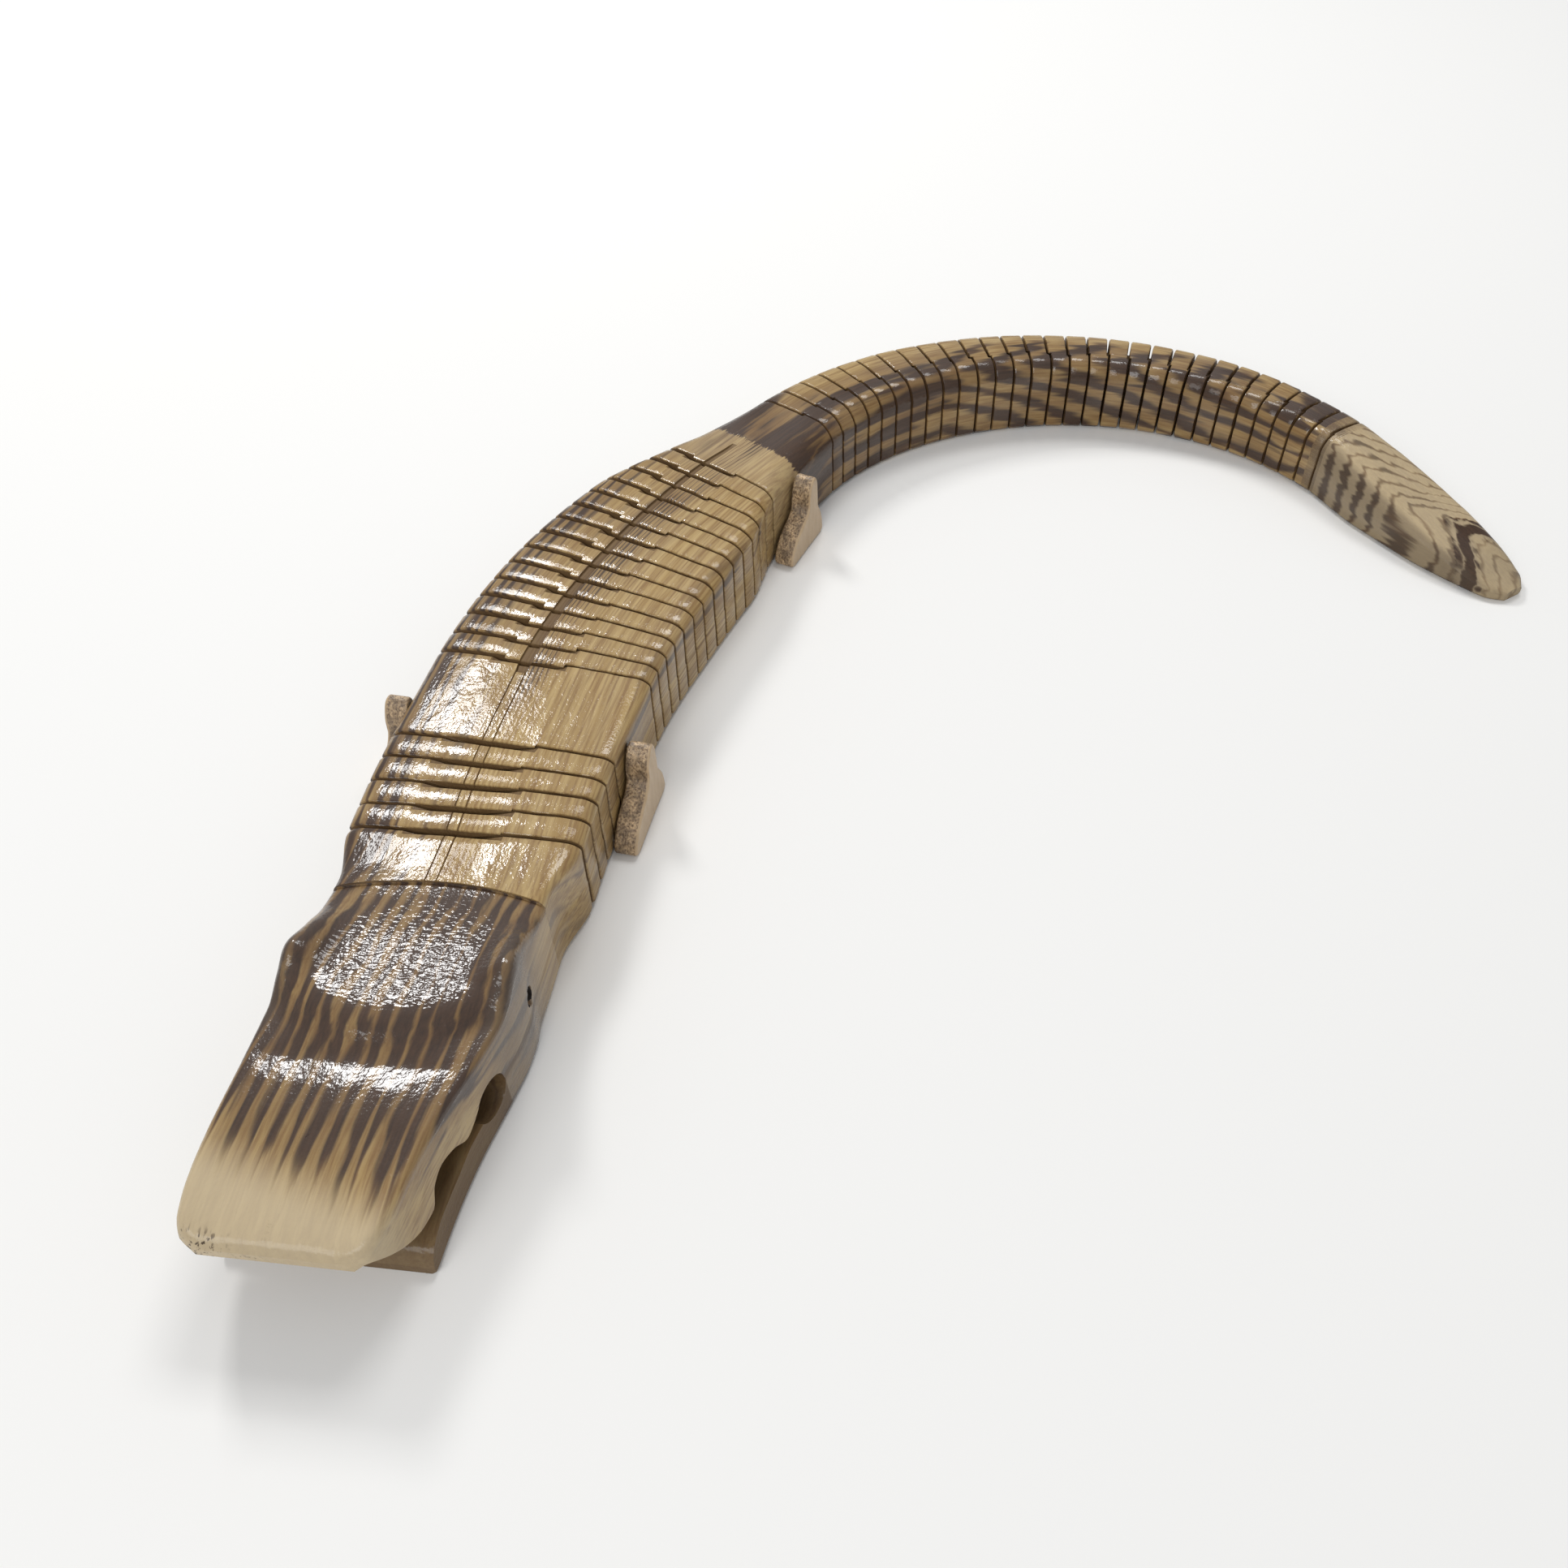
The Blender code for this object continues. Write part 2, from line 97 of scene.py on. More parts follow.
def station_table():
    """Place, width, height, flat share of the top and drop of the shoulder, as in the CAD model."""
    snout, brow_w, trunk_w, tip_w = 0.052, 0.058, 0.068, 0.0265
    snout_h, brow_h, neck_h, trunk_h, end_h, tip_h = 0.0315, 0.039, 0.030, 0.029, 0.0235, 0.004
    crown = NECK - BROW
    back = FLANK - TRUNK
    return np.array([
        (0.0, 0.040, 0.0275, 0.80, 0.12),
        (0.14 * NOSE_ROUNDING, 0.90 * snout, 0.95 * snout_h, 0.84, 0.12),
        (0.43 * NOSE_ROUNDING, 0.96 * snout, snout_h, 0.88, 0.11),
        (NOSE_ROUNDING, snout, snout_h, 0.90, 0.10),
        (0.53 * BROW, 0.0535, snout_h, 0.92, 0.07),
        (0.81 * BROW, 0.98 * brow_w, 0.98 * snout_h, 0.94, 0.06),
        (0.92 * BROW, brow_w, 0.90 * brow_h, 0.90, 0.10),
        (BROW, brow_w, brow_h, 0.84, 0.12),
        (BROW + 0.17 * crown, 0.97 * brow_w, 0.93 * brow_h, 0.84, 0.12),
        (BROW + 0.39 * crown, 0.97 * brow_w, 1.05 * neck_h, 0.88, 0.12),
        (BROW + 0.59 * crown, 0.056, neck_h, 0.90, 0.12),
        (NECK, 0.95 * trunk_w, trunk_h, 0.87, 0.14),
        (TRUNK, 0.985 * trunk_w, trunk_h, 0.87, 0.14),
        (TRUNK + 0.35 * back, trunk_w, trunk_h, 0.86, 0.15),
        (TRUNK + 0.75 * back, 0.0635, trunk_h, 0.83, 0.17),
        (FLANK, 0.048, trunk_h, 0.80, 0.18),
        (FLANK + 0.42 * HIP_LENGTH, 0.041, trunk_h, 0.64, 0.24),
        (ROOT, 0.0352, trunk_h, 0.60, 0.29),
        (TAIL_END, 0.0222, end_h, 0.60, 0.29),
        (TAIL_END + 0.30 * TAIL_TIP_LENGTH, tip_w, 0.80 * end_h, 0.66, 0.30),
        (TAIL_END + 0.56 * TAIL_TIP_LENGTH, tip_w, 0.58 * end_h, 0.74, 0.30),
        (TAIL_END + 0.78 * TAIL_TIP_LENGTH, 0.86 * tip_w, 0.39 * end_h, 0.76, 0.30),
        (TAIL_END + 0.94 * TAIL_TIP_LENGTH, 0.62 * tip_w, 1.3 * tip_h, 0.76, 0.35),
        (TIP, 0.30 * tip_w, tip_h, 0.70, 0.40),
    ])


STATIONS = station_table()
SWAY = np.array([
    (0.0, 0.0075),
    (NOSE_ROUNDING, 0.0075),
    (BROW, 0.25 * 0.0075),
    (NECK, 0.0),
    (TRUNK + 0.5 * (FLANK - TRUNK), -0.0017),
    (FLANK, -0.0017),
    (0.5 * (ROOT + TAIL_END), -0.00085),
    (TAIL_END, 0.0),
    (TIP, 0.005),
])

# The top is planed slightly round: its sides lie this much lower than its middle
CROWN = 0.0013

# The crest of the brow lies this much further back at the sides than in the middle
CREST_ARCH = 0.011

# The head ends on the neck at an edge that bows forward at the sides, with a step down before it
NECK_EDGE = NECK - 0.0175
NECK_BOW = 0.004
NECK_STEP = 0.0011

# The snout's left side leans in by this much at the top of the nose
NOSE_LEAN = 0.0045

# Height of the head along its middle, between the brows, against the place from the nose
MIDDLE_OF_HEAD = np.array([
    (0, 27.0), (2, 29.0), (6, 30.0), (14, 30.6), (26, 31.3), (33, 31.8), (38, 31.7), (42, 31.35),
    (46, 31.0), (48.5, 31.4), (55, 34.3), (58, 34.7), (73, 33.1), (90, 31.2), (99, 30.2),
    (118, 29.0), (190, 29.0),
]) * MM

# Where the seam that parts the two halves of the blank runs, and half the width it leaves
SEAM = np.array([
    (0.0, 3.0, 1.5), (NECK / MM, 3.0, 1.5), (TRUNK / MM - 4, 4.6, 1.5),
    (TRUNK / MM, 4.8, 1.8), (TRUNK / MM + 60, 4.8, 1.25), (FLANK / MM, 4.8, 0.95),
    (FLANK / MM + 14, 3.6, 0.8),
    (ROOT / MM, 3.0, 0.8), (TAIL_END / MM, 2.5, 0.8), (TIP / MM, 0.5, 0.5),
]) * MM


def smooth_through(places, values, at):
    """Cubic through the values: its slope at each is the mean of its neighbours', or none."""
    rise = np.diff(values) / np.diff(places)
    before, after = rise[:-1], rise[1:]
    turns_back = before * after <= 0
    total = np.where(turns_back, 1, before + after)
    middle = np.where(turns_back, 0, 2 * before * after / total)
    slope = np.concatenate([rise[:1], middle, rise[-1:]])
    k = np.clip(np.searchsorted(places, at) - 1, 0, len(rise) - 1)
    span = places[k + 1] - places[k]
    t = (at - places[k]) / span
    return (
        values[k] * (1 + 2 * t) * (1 - t) ** 2
        + values[k + 1] * t * t * (3 - 2 * t)
        + span * (slope[k] * t * (1 - t) ** 2 - slope[k + 1] * t * t * (1 - t))
    )


def read(column, place):
    """Value of one column of the stations at each place, on the smooth curve through them."""
    return smooth_through(STATIONS[:, 0], STATIONS[:, column], place)


def ease(low, high, value):
    """Smooth step: 0 below low, 1 above high, t*t*(3 - 2t) between."""
    t = np.clip((value - low) / (high - low), 0, 1)
    return t * t * (3 - 2 * t)


def hump(start, full, waning, end, value):
    """Smooth step up from start to full, times one down from waning to end."""
    return ease(start, full, value) * (1 - ease(waning, end, value))


def lattice_noise(points, cells, seed):
    """Smooth noise in -1..1: random values at whole numbers of cells, eased between them."""
    scaled = points / np.asarray(cells)
    whole = np.floor(scaled).astype(np.int64)
    part = scaled - whole
    part = part * part * (3 - 2 * part)
    total = np.zeros(points.shape[:-1])
    for corner in np.ndindex(2, 2, 2):
        at = whole + np.array(corner)
        mixed = at[..., 0] * 73856093 ^ at[..., 1] * 19349663 ^ at[..., 2] * 83492791 ^ seed * 2654435
        mixed = (mixed ^ (mixed >> 13)) * 1274126177 & 0x7FFFFFFF
        share = np.prod(np.where(np.array(corner) == 1, part, 1 - part), axis=-1)
        total += share * (mixed / 0x3FFFFFFF - 1)
    return total


def kerf_table():
    """Place of each kerf, the turn at it and the web's place across, with the block starts."""
    first_places = (NECK, TRUNK, ROOT)
    kerfs, turns, webs = [], [], []
    starts = [(0.0, 0.0, 0.0, math.radians(90 - HEAD_AIM_DEG))]
    for first, (pitch, count, closed, web) in zip(first_places, GROUPS):
        for k in range(count):
            kerf = first + k * pitch
            share = np.interp(k, np.linspace(0, count - 1, len(closed)), closed)
            turn = share * KERF_WIDTH / (0.5 * read(1, kerf))
            place, x, y, heading = starts[-1]
            ahead = kerf - place
            x += ahead * math.cos(heading)
            y += ahead * math.sin(heading)
            starts.append((kerf, x, y, heading - turn))
            kerfs.append(kerf)
            turns.append(turn)
            webs.append(web)
    return np.array(kerfs), np.array(turns), np.array(webs), np.array(starts)


KERFS, TURNS, WEBS, STARTS = kerf_table()
KERF_GROUP = np.repeat([0, 1, 2], [group[1] for group in GROUPS])


def by_group(front, rear, tail):
    """One length for each kerf, given in millimetres for each group."""
    return np.array([front, rear, tail])[KERF_GROUP] * MM


def lay_on_spine(place, block, across, up):
    """Point = block start + distance past it along the heading + (across + sway) to its left."""
    start, x, y, heading = (STARTS[block, k] for k in range(4))
    ahead = place - start
    aside = across + smooth_through(SWAY[:, 0], SWAY[:, 1], place)
    return np.stack([
        x + ahead * np.cos(heading) - aside * np.sin(heading),
        y + ahead * np.sin(heading) + aside * np.cos(heading),
        up + 0 * place,
    ], axis=-1)


# Columns round the section, from the middle of the underside by the animal's right side.
# The top is parted at breaks: where the saw cuts end, with a column just before and just after
# each end, and at the two edges of the seam, with a column on each side of an edge and on it.
BOTTOM, LOWER, UPPER, SHOULDER, TOP = range(5)
EDGE_STEP = 0.1 * MM
SEAM_LIP = 0.22 * MM
TOP_COLUMNS = (9, 0, 3, 0, 4, 0, 0, 2, 0, 0, 8, 0, 2, 0, 12)
SEAM_BREAKS = (5, 11)


def column_table():
    """Zone, share within the zone, side and number of the break before it, for each column."""
    zones, shares, sides, breaks = [], [], [], []

    def put(zone, values, side, number=0):
        """Adds one column of a zone and side for each share."""
        zones.extend([zone] * len(values))
        shares.extend(values)
        sides.extend([side] * len(values))
        breaks.extend([number] * len(values))

    put(BOTTOM, np.linspace(0, 1, 8), 1)
    put(LOWER, np.linspace(0, 1, 7), 1)
    put(UPPER, np.linspace(0, 1, 14), 1)
    put(SHOULDER, np.linspace(0, 1, 8)[1:], 1)
    for number, inner in enumerate(TOP_COLUMNS):
        first = 0 if number else 1
        put(TOP, np.linspace(0, 1, inner + 2)[first:-1], 1 if number < 8 else -1, number)
    put(SHOULDER, np.linspace(1, 0, 8)[:-1], -1)
    put(UPPER, np.linspace(1, 0, 14), -1)
    put(LOWER, np.linspace(1, 0, 7), -1)
    put(BOTTOM, np.linspace(1, 0, 8)[:-1], -1)
    return np.array(zones), np.array(shares, float), np.array(sides), np.array(breaks)


ZONES, SHARES, SIDES, BREAKS = column_table()
COLUMNS = len(ZONES)
UPPER_LIP = (np.where((ZONES == UPPER) & (SIDES > 0))[0][0],
             np.where((ZONES == UPPER) & (SIDES < 0))[0][-1])
LOWER_LIP = (UPPER_LIP[0] - 1, UPPER_LIP[1] + 1)
SEAM_COLUMNS = np.where((ZONES == TOP) & (SHARES == 0) & (BREAKS >= SEAM_BREAKS[0])
                        & (BREAKS < SEAM_BREAKS[1]))[0]


def seam_line(place):
    """Across of the seam's middle and half its width, on straight lines between its points."""
    centre = np.interp(place, SEAM[:, 0], SEAM[:, 1])
    half = np.interp(place, SEAM[:, 0], SEAM[:, 2])
    return centre, half


def cut_end_table():
    """Where the saw cuts of each kerf end, across: left cut, middle cut's two ends, right cut."""
    rng = np.random.default_rng(7)
    seam = seam_line(KERFS)[0]
    middle_end = seam + by_group(13.5, 10.0, 30)
    left_end = middle_end - by_group(3, 3.6, 1)
    right_end = seam - by_group(13.5, 12.2, 6.5)
    middle_stop = right_end - by_group(0.9, 1.0, 1.2)
    table = np.stack([middle_end, left_end, right_end, middle_stop], axis=-1)
    loose = np.repeat(rng.normal(0, 0.9 * MM, (len(KERFS), 2)), 2, axis=1)
    return table + loose


CUT_ENDS = cut_end_table()


LIP_GAP = 0.2 * MM
CORNER_RUN = 4 * MM


def mouth_heights(place):
    """Heights of the lower and the upper lip: a drilled round corner, square root of r^2 - x^2
    below and above its middle, run into two wavy edges in front of it."""
    ahead = MOUTH_CORNER - place
    round_part = np.sqrt(np.clip(MOUTH_CORNER_RADIUS ** 2 - ahead ** 2, 0, None))
    shares = np.array([
        (0.08, 0.80), (0.16, 0.55), (0.22, 0.45), (0.33, 0.85), (0.43, 1.00),
        (0.52, 0.85), (0.59, 0.42), (0.68, 0.52), (0.80, 0.85), (0.96, 1.60)])
    edge = smooth_through(shares[:, 0] * MOUTH_CORNER, shares[:, 1] * MOUTH_GAPE, ahead)
    lip = np.where(ahead > CORNER_RUN, LOWER_JAW_HEIGHT + edge, 0)
    upper = np.maximum(MOUTH_CORNER_HEIGHT + round_part, lip)
    jaw = np.array([(-6, 10.5), (4, 10.5), (12, 10.5), (18, 9.4), (24, 9.0), (29.5, 8.8),
                    (32, 8.2), (35.5, 7.0), (37.6, 5.2), (38.5, 3.0), (60, 3.0)]) * MM
    lower_edge = np.interp(ahead, jaw[:, 0], jaw[:, 1])
    lower_edge = np.where(ahead > CORNER_RUN, lower_edge, 1)
    lower = np.minimum(MOUTH_CORNER_HEIGHT - round_part, lower_edge)
    behind = place > MOUTH_BACK
    rest = np.interp(place, [MOUTH_BACK, NECK], [MOUTH_CORNER_HEIGHT, 0.012])
    rest = np.where(place > NECK, 0.42 * read(2, place), rest)
    return np.where(behind, rest, lower) - LIP_GAP, np.where(behind, rest, upper) + LIP_GAP


def top_height(place, across, half):
    """Height of the top: the station's at the sides, the middle profile between the brows, less
    the step before the neck's edge and, behind it, the crown times (across/half)^2."""
    side_height = read(2, place)
    edge_share = (across / half) ** 2
    arched = place - CREST_ARCH * edge_share * hump(0.047, 0.056, 0.085, 0.1, place)
    middle_height = smooth_through(MIDDLE_OF_HEAD[:, 0], MIDDLE_OF_HEAD[:, 1], arched)
    in_head = 1 - ease(NECK - 0.022, NECK - 0.012, place)
    aside = ease(0.58, 1.0, np.abs(across) / half)
    height = side_height + in_head * (1 - aside) * (middle_height - side_height)
    before_edge = NECK_EDGE - NECK_BOW * edge_share - place
    step = hump(0, 0.00035, 0.004, 0.022, before_edge)
    crown = CROWN * edge_share * ease(NECK - 0.035, NECK - 0.01, place)
    return height - NECK_STEP * step - crown


def top_breaks(place, flat, centre, seam_half):
    """Across of the top's breaks from the right shoulder to the left: the cuts' ends, kept apart
    from the seam and each other, and the seam's edges."""
    ends = np.stack([np.interp(place, KERFS, CUT_ENDS[:, k]) for k in range(4)])
    room = SEAM_LIP + 0.5 * MM
    right, left = centre + seam_half, centre - seam_half
    outer = np.clip(ends[0], right + room + 1.2 * MM, np.maximum(flat - 0.8 * MM, right + room + 1.3 * MM))
    inner = np.clip(ends[1], right + room + 0.3 * MM, outer - 0.6 * MM)
    edge = 0.6 * MM - flat
    near = np.clip(ends[2], np.minimum(edge, left - room - 1.3 * MM) + 0.8 * MM, left - room - 0.3 * MM)
    far = np.clip(ends[3], np.minimum(edge, near - 0.7 * MM), near - 0.6 * MM)
    cuts = [end + step for end in (outer, inner) for step in (EDGE_STEP, -EDGE_STEP)]
    seams = [end + step for end in (right, left) for step in (SEAM_LIP, 0, -SEAM_LIP)]
    last_cuts = [end + step for end in (near, far) for step in (EDGE_STEP, -EDGE_STEP)]
    return np.stack([flat, *cuts, *seams, *last_cuts, -flat])


def section(place):
    """Across and up of every column: underside, side walls, eased shoulders and flat top."""
    half = 0.5 * read(1, place)
    top = read(2, place)
    flat = read(3, place) * half
    wall = top - read(4, place) * top
    edge = np.minimum(UNDER_EDGE, 0.3 * wall)
    low_lip, high_lip = mouth_heights(place)
    low_lip = np.clip(low_lip, edge, wall - 0.4 * MM)
    high_lip = np.clip(high_lip, edge + 0.2 * MM, wall - 0.2 * MM)
    lean = NOSE_LEAN * (1 - ease(0.0, 0.062, place)) * (SIDES < 0)
    centre, seam_half = seam_line(place)
    centre = np.minimum(centre, 0.45 * flat)
    seam_half = np.minimum(seam_half, 0.3 * flat)
    u = SHARES
    zone = ZONES
    turn = np.radians(90) * u
    aside = np.where(zone == BOTTOM, u * (half - edge), half)
    aside = np.where(zone == SHOULDER, flat + (half - flat) * np.cos(turn), aside)
    across = SIDES * aside
    marks = top_breaks(place, flat, centre, seam_half)
    column = np.arange(COLUMNS)
    before = marks[BREAKS, :, column].T
    after = marks[BREAKS + 1, :, column].T
    across = np.where(zone == TOP, before + u * (after - before), across)
    up = np.select([zone == LOWER, zone == UPPER, zone == SHOULDER, zone == TOP], [
        edge + u * (low_lip - edge), high_lip + u * (wall - high_lip),
        wall + (top - wall) * np.sin(turn), top], 0.0)
    raised = top_height(place, across, half)
    up = np.where(zone == SHOULDER, up + (raised - top) * np.sin(turn), up)
    up = np.where(zone == TOP, up * raised / top, up)
    across = across + lean * np.clip(up / wall, 0, 1)
    return across, up, half, top


def kerf_lips():
    """Offsets along the blank of each kerf's two lips, for every column.

    A kerf is three saw cuts that overlap: from the animal's right, across the middle, a little
    nearer the head, and from its left. A lip lies at the outermost edge of the cuts that reach
    a column: the cut's offset plus or minus half of its width less turn * across.
    """
    rng = np.random.default_rng(8)
    count = len(KERFS)
    across = section(KERFS[:, None] + np.zeros(COLUMNS))[0]
    ends = CUT_ENDS[:, :, None]
    past_trunk = [0, 9 * MM, 20 * MM, 60 * MM, 110 * MM]
    in_rear = [1.1 * MM, 0.8 * MM, 0.1 * MM, 0.5 * MM, 0.7 * MM]
    in_rear = np.interp(KERFS - TRUNK, past_trunk, in_rear)
    left_offset = np.where(KERF_GROUP == 1, in_rear, by_group(0.65, 0, 0.35))
    offsets = np.stack([
        by_group(0.35, 0.75, 0.0) + rng.normal(0, 0.15 * MM, count),
        by_group(-0.45, -0.60, -0.25),
        left_offset + rng.normal(0, 0.15 * MM, count),
    ])[:, :, None]
    widths = np.stack([
        by_group(1.0, 1.70, 0.95),
        by_group(2.1, 1.4, 0.95),
        by_group(0.95, 0.85, 0.75),
    ])[:, :, None] * rng.normal(1, 0.08, (3, count, 1))
    reaches = np.stack([
        across > ends[:, 1], (across < ends[:, 0]) & (across > ends[:, 3]), across < ends[:, 2]])
    closing = TURNS[:, None] * across
    half = 0.5 * np.clip(widths - closing, 0.3 * MM, 2.1 * MM)
    spots = np.stack([KERFS[:, None] + 0 * across, across, 0 * across], -1)
    wobble = 0.10 * MM * lattice_noise(spots, (5 * MM, 4 * MM, 1), 3)
    toward_head = np.min(np.where(reaches, offsets - half, 9), axis=0) + wobble
    toward_tail = np.max(np.where(reaches, offsets + half, -9), axis=0) + wobble
    return toward_head, toward_tail


def head_rows():
    """Places of the head's rows: a millimetre apart, closer round the mouth's corner and the eye."""
    even = np.arange(NOSE_ROUNDING, NECK - 0.6 * MM, 1.05 * MM)
    nose = NOSE_ROUNDING * (1 - np.cos(np.linspace(0, 0.5 * math.pi, 13)))[:-1]
    corner = MOUTH_CORNER + MOUTH_CORNER_RADIUS * np.sin(np.linspace(-0.5, 0.5, 17) * math.pi)
    eye = BROW + EYE_BEHIND_BROW + np.linspace(-3.5, 3.5, 15) * MM
    neck_edge = NECK_EDGE + np.array([-0.35, 0.0, 0.3]) * MM
    special = np.concatenate([corner, eye, [LOWER_JAW_SET_BACK], neck_edge])
    away = np.min(np.abs(even[:, None] - special[None, :]), axis=1) > 0.4 * MM
    places = np.sort(np.concatenate([nose, even[away], special, [NECK]]))
    return places[np.concatenate([[True], np.diff(places) > 1e-6])]


# Kinds of rows: plain, the edge of a kerf's lip, where its rounding starts, and the kerf's floor
PLAIN, LIP_EDGE, LIP_ROUND, INNER = range(4)
KERF_PULL = 9 * MM
SHORT_BLOCK = 12 * MM


def row_table():
    """Block, base place, pull of the kerfs before and behind, and kind of every row.

    A kerf pulls its lips' offsets on the rows beside it: fully at its lip and less and less
    evenly as far as 9 mm from it, or the block's other end.
    """
    last = len(KERFS)
    ends = np.concatenate([[0.0], KERFS, [TIP]])
    rows = []
    for block in range(last + 1):
        low, high = ends[block], ends[block + 1]
        if block == 0:
            places = head_rows()
        elif high - low < SHORT_BLOCK:
            places = low + (high - low) * np.array([0, 0.03, 0.085, 0.5, 0.915, 0.97, 1.0])
        else:
            count = round((high - low) / (1.25 * MM))
            inner = np.linspace(low + 0.6 * MM, high - 0.6 * MM, count)
            places = np.concatenate([[low, low + 0.2 * MM], inner, [high - 0.2 * MM, high]])
        reach = min(high - low, KERF_PULL)
        before = np.clip(1 - (places - low) / reach, 0, 1) * (block > 0)
        behind = np.clip(1 - (high - places) / reach, 0, 1) * (block < last)
        number = np.arange(len(places))
        from_start = number if block > 0 else number + 2
        from_end = number[::-1] if block < last else number[::-1] + 2
        from_kerf = np.minimum(from_start, from_end)
        kind = np.select([from_kerf == 0, from_kerf == 1], [LIP_EDGE, LIP_ROUND], PLAIN)
        if block > 0:
            rows.append([(block, low, 1.0, 0.0, INNER)])
        rows.append(np.stack([0 * places + block, places, before, behind, kind], -1))
        if block < last:
            rows.append([(block, high, 0.0, 1.0, INNER)])
    table = np.concatenate(rows)
    return table[:, 0].astype(int), table[:, 1], table[:, 2], table[:, 3], table[:, 4].astype(int)


def eye_hole(place, across, up):
    """Pulls the grid to a crisp rim round each eye and sinks what is inside it.

    Distances from the eye's middle are measured in radii: r inside the rim goes to r^0.45, and
    r outside it to 1 + (r - 1)^2. The floor sinks by the depth times 1 - r^6.
    """
    ahead = place - (BROW + EYE_BEHIND_BROW)
    above = up - EYE_HEIGHT
    far = np.hypot(ahead, above)
    on_wall = (ZONES == UPPER) | (ZONES == LOWER)
    near = on_wall & (far < 2 * EYE_RADIUS)
    ratio = far / EYE_RADIUS
    pulled = np.where(ratio < 1, ratio ** 0.45, 1 + np.clip(ratio - 1, 0, 1) ** 2.0)
    scale = np.where(near, pulled / np.maximum(ratio, 1e-6), 1.0)
    scale = np.where(near & (ratio < 0.2), 1.0, scale)
    new_place = np.where(near, place + ahead * (scale - 1), place)
    new_up = np.where(near, up + above * (scale - 1), up)
    sunk = np.where(near & (ratio < 1.0), EYE_DEPTH * (1 - np.clip(ratio, 0, 1) ** 6), 0.0)
    return new_place, across - SIDES * sunk, new_up, sunk


def borders(place, across):
    """Signed distances past the neck's edge towards the nose, left of the seam, and past the
    ridge where the tail begins, each in metres."""
    half = 0.5 * read(1, place)
    neck_edge = NECK_EDGE - NECK_BOW * (across / half) ** 2
    return np.stack([neck_edge - place, across - seam_line(place)[0], place - HIP_RIDGE], -1)


def ring_fields(place, across, up):
    """Growth rings counted from the pith, for the head and the trunk's two halves.

    The blank comes from the side of a log, so that the rings cross the top as lengthwise
    stripes: a count of rings per millimetre across, summed from the seam, plus a share of the
    height.
    """
    y, z = across / MM, up / MM
    aside = y - seam_line(place)[0] / MM
    head = 0.225 * y - 0.10 * np.minimum(z, 29) - 0.02 * np.maximum(z - 29, 0)
    right_counts = np.cumsum(np.interp(np.arange(60), [0, 9, 13, 60], [0.80, 0.62, 0.22, 0.20]))
    right = np.interp(-aside, np.arange(60), right_counts) + 0.11 * z
    left_counts = np.cumsum(np.interp(np.arange(60), [0, 14, 19, 60], [0.14, 0.12, 0.26, 0.26]))
    left = np.interp(aside, np.arange(60), left_counts) - 0.20 * z
    return np.stack([head, right, left], -1)


def tip_chevrons(place, across):
    """Millimetres along the tip, held back on both sides of a line that bends to the outer side:
    its level curves are nested V shapes that open towards the end."""
    s = (place - NECK) / MM
    aside = across / MM - np.interp(s, [440, 482, 500, 526], [-8, -8, 4, 6])
    return s - 1.25 * (np.hypot(aside, 2.5) - 2.5)


CHEVRON_SPACING = 7.0


def tail_rings(place, across, up):
    """Rings round a pith that runs low along the tail: distance from it over the spacing. On
    the sloping tip they are chevrons."""
    s = (place - NECK) / MM
    pith_across = np.interp(s, [190, 300, 400, 447], [12, 12, 8, -2]) * MM
    pith_up = np.interp(s, [190, 447], [-9, -3]) * MM
    spacing = np.interp(s, [190, 300, 420, 450], [5.4, 5.2, 4.6, 4.4]) * MM
    oblique = np.interp(s, [285, 430], [0, 6.5])
    round_pith = np.hypot(across - pith_across, up - pith_up) / spacing + oblique
    in_tip = ease(444, 450, s)
    return round_pith + in_tip * (tip_chevrons(place, across) / CHEVRON_SPACING + 0.12 - round_pith)


def scorch_fields(place, across, up):
    """How far the torch darkened the rings, from 0 to 1, on the head, the trunk and the tail."""
    s = (place - NECK) / MM
    y, z = across / MM, up / MM
    wall = ease(22, 29, z)
    front_edge = -100 + 0.25 * (y - 8)
    round_eye = hump(-78, -62, -45, -30, s)
    head = ease(-14, 24, s - front_edge) * (0.10 + 0.26 * round_eye + (0.54 - 0.2 * round_eye) * wall)
    aside = y - seam_line(place)[0] / MM
    fine_lines = 0.22 * (1 - ease(7, 12, -aside)) * ease(35, 60, s)
    right = 0.08 + 0.10 * (1 - wall) + fine_lines * (aside < 0)
    left = 0.20 + 0.26 * ease(13, 20, aside) + 0.10 * (1 - ease(0, 5, aside)) * ease(90, 120, s)
    near_neck = 0.25 * (1 - ease(-15, 10, s)) * ease(6, 14, y)
    shoulder = 0.10 * ease(25, 29, -y) * ease(14, 21, z)
    trunk = right + ease(0, 1, aside) * (left - right) + near_neck + shoulder
    tail_places = [190, 205, 235, 300, 425, 445, 450]
    along_tail = np.interp(s, tail_places, [0.95, 0.84, 0.46, 0.42, 0.44, 0.36, 0.0])
    tip_places = [440, 470, 494, 497, 503.5, 505.5]
    chevron = np.interp(tip_chevrons(place, across), tip_places, [0.25, 0.24, 0.22, 0.85, 0.85, 0.20])
    inner_wall = 0.10 * ease(0.72, 0.92, -across / (0.5 * read(1, place))) * (1 - ease(500, 515, s))
    along_tail = along_tail + ease(444, 450, s) * (chevron + inner_wall)
    inner_shoulder = 0.10 * ease(2, 6, -y) * ease(12, 20, z) * (1 - ease(430, 445, s))
    outer_edge = 0.36 * ease(0, 7, y) * (1 - ease(400, 430, s)) * ease(215, 235, s)
    tail = along_tail + inner_shoulder - outer_edge
    return np.clip(np.stack([head, trunk, tail], -1), 0, 1)


